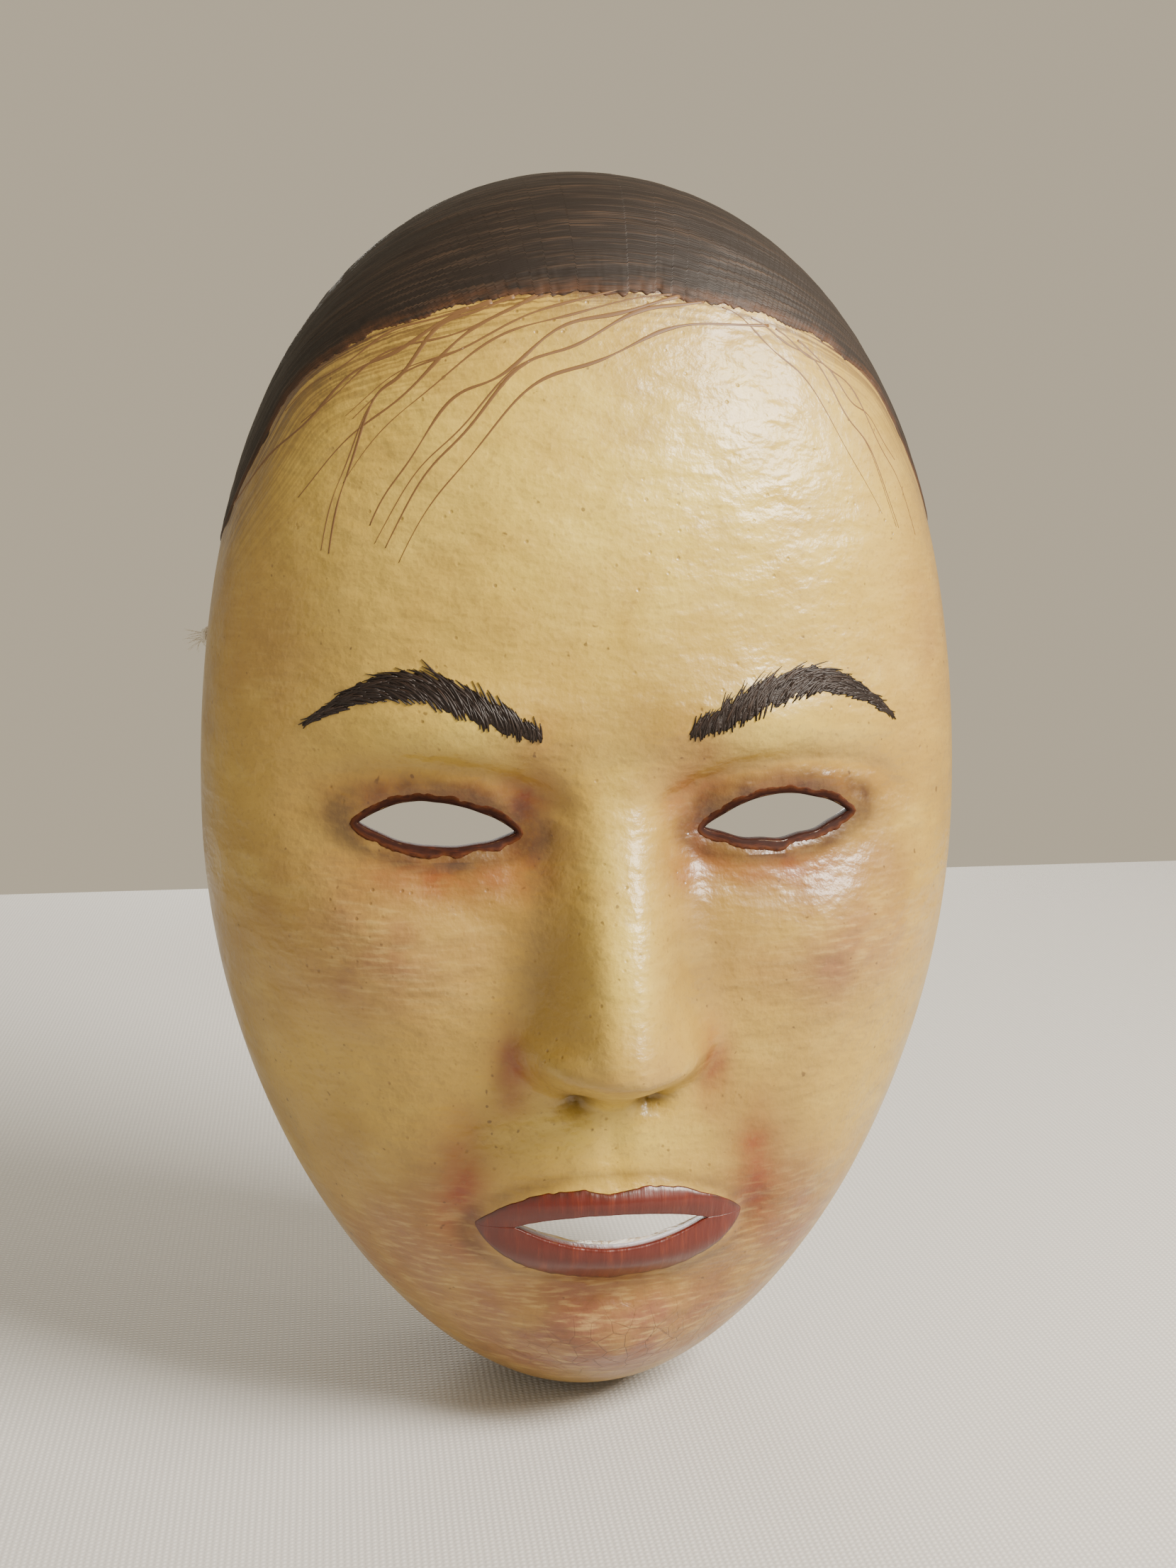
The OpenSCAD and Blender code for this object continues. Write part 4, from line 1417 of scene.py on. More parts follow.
@dataclass
class RimTape:
    """Dark paper tape torn into lengths and folded over the rim, each lapping the one before.

    A length is a bent strip: up the outside, across the back and down the inside.
    """

    form: FaceForm
    lengths: int = 13
    lap: float = 4.5
    outside: float = 2.8
    inside: float = 3.8
    thick: float = 0.30
    step: float = 0.8
    tuck: float = 0.16

    def rim(self, count: int) -> tuple[Array, Array]:
        """Even steps round the rim, and the level ways out of it.

        Args:
            count: how many steps.

        Returns:
            Flat places and flat arrows, both as x and z.
        """
        f = self.form
        t = np.linspace(0.0, 2 * np.pi, 6001)
        c, s = np.cos(t), np.sin(t)
        fill = np.where(s > 0, f.crown_fill, -f.jaw_taper) * s * s
        flat = np.stack([f.rim_w / 2 * c * (1 + fill), f.rim_h / 2 * s], axis=-1)
        spots = follow(flat, np.linspace(0.0, run(flat)[-1], count, endpoint=False))
        ahead = unit(np.roll(spots, -1, axis=0) - np.roll(spots, 1, axis=0))
        return spots, np.stack([ahead[:, 1], -ahead[:, 0]], axis=-1)

    def length_of_tape(self, path: Array, out: Array, k: int) -> Skin:
        """One length: the fold's outline, carried along its stretch of the rim.

        Args:
            path: its stretch of the rim.
            out: the ways out along it.
            k: which length it is.

        Returns:
            The vertices and the faces.
        """
        n = len(path)
        s = np.arange(n) * self.step
        deep = self.form.wall + self.form.lining
        upper = self.outside * (1 + 0.10 * cloud(s, 0 * s + 9 * k, 6.0, 21) + 0.05 * cloud(s, 0 * s, 1.3, 22))
        lower = self.inside * (1 + 0.12 * cloud(s, 0 * s + 9 * k, 5.0, 23) + 0.06 * cloud(s, 0 * s, 1.2, 24))
        lift = 0.02 + 0.13 * soft(1.0 - s / self.lap) + 0.03 * cloud(s, 0 * s + 5 * k, 4.0, 25)
        low, high = lift, lift + self.thick
        tucked = self.tuck * soft((s - s[-1] + self.lap * 1.4) / (self.lap * 0.4))
        high = high - 0.5 * tucked
        outer, inner, under, over = [], [], [], []
        for share in (1.0, 0.75, 0.5, 0.25, 0.1):
            outer.append((high * (0.55 if share == 1.0 else 1.0), -upper * share))
            under.append((low * 0.5, -upper * share))
        for share in (0.06, 0.3, 0.55, 0.8, 1.0):
            inner.append((-deep - high * (0.55 if share == 1.0 else 1.0), -lower * share))
            over.append((-deep - low * 0.5, -lower * share))
        back = [(high * 0.75, -0.12 - tucked), (0.1, -tucked), (-deep / 2, -tucked)]
        back += [(-deep - 0.1, -tucked), (-deep - high * 0.75, -0.12 - tucked)]
        fore = [(away, -self.thick) for away in (-deep - low * 0.4, -deep / 2, low * 0.4)]
        outline = outer + back + inner + over[::-1] + fore + under[::-1]
        away = np.stack([a + 0 * s for a, _ in outline], axis=1)
        depth = np.stack([b + 0 * s for _, b in outline], axis=1)
        flat = path[:, None] + away[..., None] * out[:, None]
        return loft(np.stack([flat[..., 0], depth, flat[..., 1]], axis=-1))

    def build(self) -> bpy.types.Object:
        """Lays every length round the rim.

        Returns:
            The dressed tape.
        """
        around = 2 * math.pi * math.sqrt((self.form.rim_w**2 + self.form.rim_h**2) / 8)
        count = int(around / self.step)
        path, out = self.rim(count)
        rng = np.random.default_rng(17)
        starts = np.arange(self.lengths) + rng.uniform(-0.2, 0.2, self.lengths)
        starts = (starts * count / self.lengths).astype(int)
        parts, tones = [], []
        for k, first in enumerate(starts):
            last = starts[(k + 1) % self.lengths] + (count if k == self.lengths - 1 else 0)
            index = np.arange(first, last + int(self.lap / self.step)) % count
            parts.append(self.length_of_tape(path[index], out[index], k))
            tones.append(np.full(len(parts[-1][0]), rng.uniform(0.0, 0.8)))
        piece = make_piece("folded_rim_tape", *joined(parts), {"tone": np.concatenate(tones)})
        piece.data.set_sharp_from_angle(angle=CRISP_TAPE)
        paper = TornPaper("dark paper tape, torn and folded", "#43342A", "#2B211B", "#5E4C3C").make()
        return dress(piece, paper, "rim_tape", "rim_binding")


# ---- paint that stands on the shell ----


@dataclass
class HairPaint:
    """The painted hair: a brushed band from the rim to the hairline, and loose strands below it.

    Seen from the front the hairline is an arch that falls with the square of the way to the
    side, and it runs softly into a strip along the rim that ends in a point.
    """

    form: FaceForm
    line_z: float = 95.0
    line_fall: float = 16.0
    fall_at: float = 50.0
    side_w: Pair = (1.5, 7.0)
    end_z: float = 40.0
    end_l: float = 16.0
    blend: float = 0.025
    tape_out: float = 2.3
    body_t: float = 0.24
    ridge_t: float = 0.10
    stroke: Pair = (17.0, 0.75)
    columns: int = 720
    rows: int = 54
    unrolled: float = 140.0
    strand_t: float = 0.05
    fork_every: int = 3

    def line(self) -> tuple[Array, Array, Array, Array]:
        """The hairline round the mask.

        Returns:
            The angle in the disc, the disc radius of the hairline, the way along it in
            millimetres, and how much hair there is, which dies out at the two points.
        """
        f = self.form
        table = np.linspace(0.0, 1.0, 401)
        turns = f.turn(table)
        start = math.asin(self.end_z / (f.rim_h / 2))
        angle = np.linspace(start, math.pi - start, self.columns)
        c, s = np.cos(angle), np.sin(angle)
        fill = f.crown_fill * s * s
        reach = np.sin(turns)[None, :]
        x = f.rim_w / 2 * reach * c[:, None] * (1 + fill[:, None] * reach**2)
        z = f.rim_h / 2 * reach * s[:, None]
        above = z > self.line_z - self.line_fall * (x / self.fall_at) ** 2
        on_line = np.where(above.any(axis=1), table[np.argmax(above, axis=1)], 1.05)
        rim_x, rim_z = x[:, -1], z[:, -1]
        low, high = self.side_w
        share = soft((rim_z - self.end_z) / (self.line_z - self.line_fall - self.end_z))
        side_reach = 1.0 - (low + (high - low) * share) / np.hypot(rim_x, rim_z)
        on_side = np.interp(np.arcsin(side_reach), turns, table)
        both = -self.blend * np.log(np.exp(-on_line / self.blend) + np.exp(-on_side / self.blend))
        along = run(np.stack([rim_x, rim_z], axis=-1))
        return angle, both, along, soft((rim_z - self.end_z) / self.end_l)

    def strays(self, x: Array, z: Array) -> tuple[Array, Array]:
        """How the dry brush strays below the hairline on to the skin.

        Args:
            x: places across.
            z: places up.

        Returns:
            The comb coordinates (along and below the hairline, in millimetres), and the amount.
        """
        angle, edge, along, amount = self.line()
        p, q = self.form.spot(x, z)
        at, r = np.arctan2(q, p), np.hypot(p, q)
        below = (np.interp(at, angle, edge) - r) * self.unrolled
        inside = np.interp(at, angle, amount, left=0.0, right=0.0)
        wide = 3.0 + 7.0 * soft((at - 1.7) / 0.7) + 1.5 * soft((1.2 - at) / 0.6)
        feather = inside * np.exp(-np.maximum(below, 0.0) / wide)
        s = np.interp(at, angle, along)
        return np.stack([s, below, 0 * s], axis=-1), np.where(np.abs(at - math.pi / 2) < 1.4, feather, 0.0)

    def build_band(self, finish: bpy.types.Material) -> bpy.types.Object:
        """The band: a film over the side wall and the crown, ridged by the brush, ragged at its edge.

        Args:
            finish: the hair's material.

        Returns:
            The dressed band.
        """
        f = self.form
        angle, edge, along, amount = self.line()
        foot = 1.0 + f.lip * (f.side_wall_h - self.tape_out - 0.1) / (f.side_wall_h - f.tape)
        edge = foot + (edge - foot) * amount
        t = 1.0 - (1.0 - np.linspace(0.0, 1.0, self.rows)) ** 1.25
        share = np.concatenate([t, [1.0, 0.66, 0.33, 0.0]])
        ragged = 0.8 * cloud(along, 0 * along, 8.0, 31) + 0.45 * cloud(along, 0 * along, 1.4, 32)
        ragged = ragged * amount / self.unrolled
        r = foot + (edge - foot)[:, None] * share
        r = r + ragged[:, None] * soft((share - 0.84) / 0.16)
        p, q = r * np.cos(angle)[:, None], r * np.sin(angle)[:, None]
        s = np.broadcast_to(along[:, None], r.shape)
        inward = np.maximum((r - (edge + ragged)[:, None]) * self.unrolled, 0.0)
        long, short = self.stroke
        row = (r - edge[:, None]) * self.unrolled
        ridges = cloud(s / long, row / short, 1.0, 33) + 0.5 * cloud(s / long * 2, row / short * 2.3, 1.0, 34)
        full = self.body_t * soft(inward / 2.2) + self.ridge_t * ridges * soft(inward / 1.2)
        up_wall = (foot - r) * (f.side_wall_h - f.tape) / f.lip
        top = 0.015 + full * soft(up_wall / 1.2)
        lift = np.where(np.arange(r.shape[1])[None, :] < self.rows, top, -0.35)
        comb = np.stack([s, row, inward], axis=-1)
        piece = make_piece("brushed_hair_band", *loft(f.surface(p, q, lift)), {"comb": comb})
        return dress(piece, finish, "hair_paint", "hair_paint")

    def ribbon(self, x: Array, z: Array, width: Array, lift: float) -> Skin:
        """A thin painted line: a low rounded ridge, narrow at its end.

        Args:
            x: its places across.
            z: its places up.
            width: its half width at each place.
            lift: its height.

        Returns:
            The vertices and the faces.
        """
        ahead = unit(np.stack([np.gradient(x), np.gradient(z)], axis=-1))
        away = np.array([-1.0, -0.5, 0.5, 1.0, 0.0])
        height = np.array([-0.03, lift, lift, -0.03, -0.2])
        across = x[:, None] - ahead[:, 1:] * away * width[:, None]
        up = z[:, None] + ahead[:, :1] * away * width[:, None]
        return loft(self.form.on_front(across, up, np.broadcast_to(height, across.shape)))

    def build_strands(self, finish: bpy.types.Material) -> bpy.types.Object:
        """Loose strands: bent lines that leave the hairline and fall towards one temple.

        Each is a quadratic curve between three places that move evenly from strand to strand,
        with a small wave across it. Every third one is forked, as a split brush leaves it.

        Args:
            finish: the strands' material.

        Returns:
            The dressed strands.
        """
        rng = np.random.default_rng(53)
        t = np.linspace(0.0, 1.0, 80)
        parts = []
        sets = (
            (6, (30.0, -24.0), ((-14.0, 89.0), (-50.0, 83.0)), ((-34.0, 52.0), (-60.0, 58.0)), 0.42),
            (4, (10.0, -20.0), ((-24.0, 90.0), (-46.0, 86.0)), ((-47.0, 70.0), (-57.0, 72.0)), 0.28),
            (4, (20.0, 40.0), ((36.0, 87.0), (50.0, 78.0)), ((51.0, 60.0), (60.0, 56.0)), 0.20),
        )
        for count, starts, bends, ends, thick in sets:
            for k in range(count):
                f = k / (count - 1)
                x0 = starts[0] + f * (starts[1] - starts[0]) + rng.normal(0.0, 3.0)
                z0 = self.line_z - self.line_fall * (x0 / self.fall_at) ** 2 + 0.8
                bend = np.array(bends[0]) * (1 - f) + np.array(bends[1]) * f + rng.normal(0.0, 2.0, 2)
                end = np.array(ends[0]) * (1 - f) + np.array(ends[1]) * f + rng.normal(0.0, 3.0, 2)
                x = (1 - t) ** 2 * x0 + 2 * t * (1 - t) * bend[0] + t * t * end[0]
                z = (1 - t) ** 2 * z0 + 2 * t * (1 - t) * bend[1] + t * t * end[1]
                turns, first = rng.uniform(1.6, 3.0), rng.uniform()
                wave = np.sin(2 * np.pi * (turns * t + first)) * np.sin(np.pi * t)
                z = z + rng.uniform(0.6, 1.5) * wave
                uneven = 1 + 0.45 * cloud(60 * t, 0 * t, 5.0, 60 + k)
                width = thick * (0.25 + 0.75 * (1 - t) ** 0.8) * uneven
                parts.append(self.ribbon(x, z, width, self.strand_t))
                split = int(len(t) * rng.uniform(0.45, 0.65))
                away = rng.uniform(1.2, 3.2) * (t[split:] - t[split]) ** 0.7
                if k % self.fork_every == 1:
                    fork = (x[split:] - away, z[split:] + 0.4 * away, 0.6 * width[split:])
                    parts.append(self.ribbon(*fork, self.strand_t))
        combs = [np.tile([0.0, 0.0, 9.0], (len(points), 1)) for points, _ in parts]
        piece = make_piece("loose_hair_strands", *joined(parts), {"comb": np.vstack(combs)})
        return dress(piece, finish, "hair_paint")


@dataclass
class Eyebrow:
    """One painted eyebrow: a thin stain, and short tapered strokes combed outwards over it."""

    form: FaceForm
    hair: HairPaint
    side: Side
    inner: Pair = (13.0, 19.0)
    outer: Pair = (54.0, 20.0)
    arch: float = 8.0
    height: float = 7.0
    end_share: float = 0.12
    strokes: int = 330
    stroke_l: Pair = (4.5, 8.0)
    stroke_w: Pair = (0.16, 0.30)

    def middle(self, a: Array) -> tuple[Array, Array, Array]:
        """The eyebrow's middle line and half height: an arch whose top leans outwards.

        Args:
            a: 0 at the inner end to 1 at the outer end.

        Returns:
            Places across and up, and the half height there.
        """
        x = self.inner[0] + a * (self.outer[0] - self.inner[0])
        z = self.inner[1] + a * (self.outer[1] - self.inner[1]) + self.arch * np.sin(np.pi * a**1.2)
        full = self.end_share + (1 - self.end_share) * np.abs(np.sin(np.pi * a**0.75)) ** 0.8
        return x, z, self.height / 2 * full

    def stain(self) -> tuple[Skin, Array]:
        """The thin dark film under the strokes, with a ragged edge.

        Returns:
            The skin, and its comb marks.
        """
        a = np.linspace(0.02, 0.98, 110)
        x, z, half = self.middle(a)
        across = np.concatenate([np.linspace(-1, 1, 13), [0.8, 0.0, -0.8]])
        rag = 0.72 + 0.22 * cloud(a[:, None] * 60, np.sign(across) * 3.0, 1.0, 71)
        up = z[:, None] + across * half[:, None] * rag
        lift = np.concatenate([0.13 * (1 - np.linspace(-1, 1, 13) ** 6) - 0.02, [-0.3] * 3])
        skin = loft(self.form.on_front(self.side.value * (x[:, None] + 0 * up), up, lift + 0 * up))
        comb = np.stack([40 * a[:, None] + 0 * up, up, 9.0 + 0 * up], axis=-1)
        return skin, comb.reshape(-1, 3)

    def build(self, finish: bpy.types.Material) -> bpy.types.Object:
        """Lays the stain and then every stroke, from the outer end inwards.

        Args:
            finish: the eyebrow's material.

        Returns:
            The dressed eyebrow.
        """
        rng = np.random.default_rng(80 + self.side.value)
        skin, comb = self.stain()
        parts, combs = [skin], [comb]
        t = np.linspace(0.0, 1.0, 6)
        for _ in range(self.strokes):
            a = rng.uniform(0.0, 0.97)
            x, z, half = (float(v) for v in self.middle(np.float64(a)))
            x1, z1, _ = (float(v) for v in self.middle(np.float64(a + 0.02)))
            off = rng.uniform(-0.95, 0.80)
            lean = math.radians(50.0 * (1 - a) ** 1.4 + 10.0 - 16.0 * off + rng.normal(0.0, 7.0))
            way = math.atan2(z1 - z, x1 - x) + lean
            long = rng.uniform(*self.stroke_l) * (0.45 + 0.55 * half / (self.height / 2))
            turn = way - math.radians(rng.uniform(8.0, 26.0)) * t
            px = x + np.cumsum(np.cos(turn)) * long / len(t) - math.cos(way) * long * 0.35
            pz = z + off * half * 0.8 + np.cumsum(np.sin(turn)) * long / len(t) - math.sin(way) * long * 0.35
            width = rng.uniform(*self.stroke_w) * np.array([0.5, 1.0, 1.0, 0.8, 0.5, 0.12])
            parts.append(self.hair.ribbon(self.side.value * px, pz, width, rng.uniform(0.12, 0.30)))
            combs.append(np.tile([rng.uniform(0, 90), rng.uniform(0, 90), 9.0], (len(parts[-1][0]), 1)))
        piece = make_piece(f"painted_eyebrow_{self.side.word}", *joined(parts), {"comb": np.vstack(combs)})
        return dress(piece, finish, "brow_paint", f"brow_{self.side.word}")


@dataclass
class EyeBand:
    """The dark band brushed round an eye opening, carried over the cut edge into the opening."""

    form: FaceForm
    hole: Opening
    side: Side
    width: float = 1.4
    steps: int = 190

    def build(self, finish: bpy.types.Material) -> bpy.types.Object:
        """A closed ring: its outline runs over the skin, down the cut wall and back inside it.

        Args:
            finish: the band's material.

        Returns:
            The dressed band.
        """
        k = around(self.steps)
        x, z = np.cos(k) * 30, np.sin(k) * 30
        wide = self.width * (1.0 + 0.22 * cloud(x, z, 6.0, 91) + 0.10 * cloud(x, z, 2.2, 92))
        deep = self.form.wall
        over = ((1.0, -0.25), (1.0, 0.01), (0.75, 0.10), (0.5, 0.16), (0.25, 0.17), (0.08, 0.10))
        down = ((-0.16, 0.1), (-0.20, 0.5), (-0.20, deep * 0.5), (-0.16, deep - 0.3), (0.2, deep - 0.4))
        rings, combs = [], []
        way = np.arange(self.steps) * 0.4
        outline = [(share * wide, lift, 0.0) for share, lift in over]
        outline += [(np.full(self.steps, out), 0.0, depth) for out, depth in down]
        for out, lift, depth in outline:
            a, b = self.hole.outline(self.steps, out)
            rough = 0.03 * cloud(way, out * 6, 0.9, 93) if lift > 0 else 0.0
            rings.append(self.form.on_front(a, b, lift + rough) + (0.0, depth, 0.0))
            combs.append(np.stack([way, out, np.maximum(wide - out, 0.0)], axis=-1))
        skin = loft(np.stack(rings, axis=1), ring=True)
        comb = np.stack(combs, axis=1).reshape(-1, 3)
        piece = make_piece(f"eye_edge_paint_{self.side.word}", *skin, {"comb": comb})
        return dress(piece, finish, "eye_band_paint", f"eye_band_{self.side.word}")


class Lip(Enum):
    """The two lips, by the way each stands from the line between them."""

    UPPER = 1
    LOWER = -1


@dataclass
class LipPaint:
    """Red lip paint with fine creases across it, rolled over the cut edge of the mouth."""

    form: FaceForm
    lip: Lip
    columns: int = 230
    rows: int = 20
    crease: float = 0.05

    def build(self, finish: bpy.types.Material) -> bpy.types.Object:
        """Outlines from corner to corner: over the lip's face, down the cut wall and back.

        Args:
            finish: the lips' material.

        Returns:
            The dressed lip.
        """
        f, way = self.form, self.lip.value
        turn = np.linspace(math.pi - 0.06, 0.06, self.columns)
        x = f.lips_l / 2 * np.cos(turn)
        s = np.sin(turn) ** f.lips_power
        outer = f.lip_up * s - f.lip_dip * np.exp(-((x / f.dip_w) ** 2)) if way > 0 else f.lip_down * s
        outer = outer + (0.38 * cloud(x, 0 * x + way, 4.0, 101) + 0.22 * cloud(x, 0 * x + way, 1.1, 102)) * s
        gap = f.mouth_up if way > 0 else f.mouth_down
        inside = np.clip(1.0 - (x / (f.mouth_l / 2)) ** 2, 0.0, 1.0)
        inner = gap * inside ** (f.corner_power / 2)
        open_here = soft(inside * 8.0)
        share = np.linspace(1.0, 0.0, self.rows)
        up = inner[:, None] + (outer - inner)[:, None] * share
        across = np.broadcast_to(x[:, None], up.shape)
        creases = cloud(across, up * 0.18, 0.9, 103) + 0.6 * cloud(across, up * 0.15, 2.2, 104)
        full = np.clip((1 - share) * 8, 0, 1) * s[:, None] ** 0.5
        lift = 0.01 + full * (0.20 + self.crease * creases)
        wall_up = inner[:, None] - open_here[:, None] * np.array([0.18, 0.22, 0.22, 0.18, -0.35, -0.5])
        depth = open_here[:, None] * np.array([0.1, 0.5, 1.4, 2.4, 2.3, 0.5]) + 0.05
        last_up = (inner + (outer - inner) * 0.9)[:, None]
        up = np.hstack([up, wall_up, last_up])
        lift = np.hstack([lift, 0 * depth, 0 * last_up - 0.35])
        depth = np.hstack([np.zeros((self.columns, self.rows)), depth, 0 * last_up])
        across = np.broadcast_to(x[:, None], up.shape)
        sections = f.on_front(across, f.mouth_z + way * up, lift)
        sections[..., 1] += depth
        edge = np.maximum(outer[:, None] - up, 0.0)
        comb = np.stack([up, across, edge], axis=-1)
        piece = make_piece(f"painted_lip_{self.lip.name.lower()}", *loft(sections), {"comb": comb})
        return dress(piece, finish, "lip_paint", f"lip_{self.lip.name.lower()}")


# ---- inside the mask ----


@dataclass
class FitPad:
    """A cotton pad stuffed with wadding and stitched down round its edge, puffed up as cloth.

    It starts as a low lens on the lining: its half thickness follows one minus the sixth power
    of the way to its edge. The cloth is worked at ten times its size, where it behaves better.
    """

    form: FaceForm
    name: str
    node: str
    middle: Pair
    size: Pair
    thick: float = 7.0
    start_share: float = 0.62
    voxel: float = 1.1
    pressure: float = 5.0
    give: float = 1.9
    enlarge: float = 10.0
    stitch: float = 3.4
    stitch_share: float = 0.80
    stitch_fill: float = 0.62
    thread: float = 0.22
    corner: float = 2.5
    glued: float = 0.9
    frames: int = 20
    tension: float = 12.0
    bending: float = 0.4
    quality: int = 5

    def ring(self, share: float, depth: float, steps: int = 96) -> Array:
        """One ring of the pad: a rounded outline, with the `corner` power for its corners.

        Args:
            share: its size as a share of the pad's.
            depth: how deep in the mask it lies.
            steps: how many places it has.

        Returns:
            The places.
        """
        t = around(steps)
        c, s = np.cos(t), np.sin(t)
        corner = (np.abs(c) ** self.corner + np.abs(s) ** self.corner) ** (-1 / self.corner)
        wave = 1.0 + 0.012 * np.sin(7 * t + self.middle[0])
        x = self.middle[0] + self.size[0] / 2 * share * corner * wave * c
        z = self.middle[1] + self.size[1] / 2 * share * corner * wave * s
        return self.form.on_front(x, z, -depth, Wall.INSIDE)

    def lens(self) -> Skin:
        """The pad before it is puffed: rings from the middle of its back to the middle of its front.

        Returns:
            The vertices and the faces.
        """
        base = self.form.wall + self.form.lining + 0.12
        out = np.linspace(0.02, 0.86, 14)
        tall = self.thick * self.start_share
        up = [base + tall * (1 - (share / 0.90) ** 6) ** 0.5 for share in out]
        under = [self.ring(share, base) for share in out]
        over = [self.ring(share, depth) for share, depth in zip(out, up)]
        side = [self.ring(0.90, base + tall * 0.12), self.ring(0.90, base + tall * 0.3)]
        return loft(np.stack(under + side + over[::-1]))

    def puff(self, piece: bpy.types.Object) -> None:
        """Fills the cloth with air while its back stays glued, and holds how far it may move.

        Args:
            piece: the pad as a lens, which becomes the puffed pad.
        """
        scene = bpy.context.scene
        piece.data.transform(Matrix.Scale(self.enlarge, 4))
        remesh = piece.modifiers.new("cloth", "REMESH")
        remesh.mode, remesh.voxel_size = "VOXEL", self.voxel * MM * self.enlarge
        settle(piece)
        before = places(piece) / self.enlarge
        p, q = self.form.spot(before[:, 0], before[:, 2])
        base, out = self.form.place(p, q, Wall.INSIDE), self.form.out(p, q, Wall.INSIDE)
        depth = -((before - base) * out).sum(axis=-1) - self.form.wall - self.form.lining
        group = piece.vertex_groups.new(name="glued")
        group.add([int(k) for k in np.flatnonzero(depth < self.glued)], 1.0, "REPLACE")
        cloth = piece.modifiers.new("puff", "CLOTH")
        cloth.settings.use_pressure = True
        cloth.settings.uniform_pressure_force = self.pressure
        cloth.settings.vertex_group_mass = group.name
        cloth.settings.tension_stiffness = self.tension
        cloth.settings.bending_stiffness = self.bending
        cloth.settings.quality = self.quality
        cloth.settings.effector_weights.gravity = 0.0
        cloth.point_cache.frame_start, cloth.point_cache.frame_end = 1, self.frames
        for step in range(1, self.frames + 1):
            scene.frame_set(step)
        settle(piece)
        after = places(piece) / self.enlarge
        moved = after - before
        far = np.linalg.norm(moved, axis=-1, keepdims=True)
        held = before + moved * np.minimum(1.0, self.give / np.maximum(far, 1e-9))
        piece.data.vertices.foreach_set("co", (held * MM).astype(np.float32).ravel())
        piece.vertex_groups.clear()
        scene.frame_set(1)

    def stitches(self, piece: bpy.types.Object) -> Skin:
        """Running stitches round the edge: short arched tubes that dip into the cloth at both ends.

        Args:
            piece: the finished pad, whose surface the thread follows.

        Returns:
            The vertices and the faces.
        """
        deep = self.form.wall + self.form.lining + self.thick
        edge = self.ring(self.stitch_share, deep, 240)
        long = run(edge)[-1]
        count = int(long / self.stitch)
        t = np.linspace(0.0, 1.0, 9)
        lift = self.thread * (2.2 * np.sin(np.pi * t) - 1.4)
        parts = []
        for k in range(count):
            path = follow(edge, (k + self.stitch_fill * t) * long / count)
            hits = [piece.closest_point_on_mesh(Vector(place * MM)) for place in path]
            on = np.array([hit[1] for hit in hits]) / MM
            off = np.array([hit[2] for hit in hits])
            parts.append(tube(on + off * lift[:, None], self.thread, 6))
        return joined(parts)

    def build(self, cloth: bpy.types.Material, thread: bpy.types.Material) -> bpy.types.Object:
        """Args:
            cloth: the pad's cotton.
            thread: the stitches' thread.

        Returns:
            The dressed pad.
        """
        piece = make_piece(self.name, *self.lens())
        self.puff(piece)
        piece.data.polygons.foreach_set("use_smooth", np.ones(len(piece.data.polygons), bool))
        finer = piece.modifiers.new("finer", "SUBSURF")
        finer.levels = finer.render_levels = 1
        dress(piece, cloth, "pad_cloth", self.node)
        sewn = make_piece(f"{self.name}_stitches", *self.stitches(piece))
        mark(sewn, {"groove": np.zeros(len(sewn.data.vertices))})
        dress(sewn, thread, "pad_cloth")
        return piece


@dataclass
class TemplePatch:
    """A small torn paper patch pasted round a cord hole inside the temple.

    Outlines stand round the hole: each runs from the hole's edge over the patch to its torn
    edge and back underneath.
    """

    form: FaceForm
    tape: RimTape
    side: Side
    at: Pair = (-8.0, 32.0)
    size: Pair = (7.0, 16.0)
    hole: float = 2.0
    thick: float = 0.55
    steps: int = 96

    def build(self, paper: bpy.types.Material) -> bpy.types.Object:
        """Bends the patch to the side wall.

        Args:
            paper: the patch's paper.

        Returns:
            The dressed patch.
        """
        t = around(self.steps)
        c, s = np.cos(t), np.sin(t)
        torn = 1.0 + 0.05 * cloud(8 * c, 8 * s, 1.7, 111 + self.side.value)
        torn = torn + 0.03 * cloud(30 * c, 30 * s, 1.1, 112)
        far_y, far_z = self.size[0] / 2 * torn, self.size[1] / 2 * torn
        edge = ((np.abs(c) / far_y) ** 5 + (np.abs(s) / far_z) ** 5) ** (-1 / 5)
        near = np.full(self.steps, self.hole / 2 * 0.98)
        share = np.array([0.0, 0.04, 0.3, 0.6, 0.85, 0.97, 1.0, 0.97, 0.5, 0.05])
        lift = np.array([0.3, 0.9, 1.0, 1.0, 0.95, 0.7, 0.2, -0.3, -0.3, -0.3]) * self.thick
        r = near[:, None] + (edge - near)[:, None] * share
        y, z = self.at[0] + r * c[:, None], self.at[1] + r * s[:, None]
        path, out = self.tape.rim(3000)
        half = path[:, 0] * self.side.value > 0
        order = np.argsort(path[half, 1])
        rim_z, rim_x = path[half, 1][order], path[half, 0][order]
        out_x, out_z = out[half, 0][order], out[half, 1][order]
        deep = self.form.wall + self.form.lining + lift + 0.02
        z_rim = z + deep * np.interp(z, rim_z, out_z)
        x = np.interp(z_rim, rim_z, rim_x) - deep * np.interp(z_rim, rim_z, out_x)
        sections = np.stack([x, y, z], axis=-1)
        piece = make_piece(f"torn_temple_patch_{self.side.word}", *loft(sections, ring=True))
        mark(piece, {"tone": np.full(len(piece.data.vertices), 0.1)})
        return dress(piece, paper, "patch_paper", f"temple_patch_{self.side.word}")


# ---- the cord ----


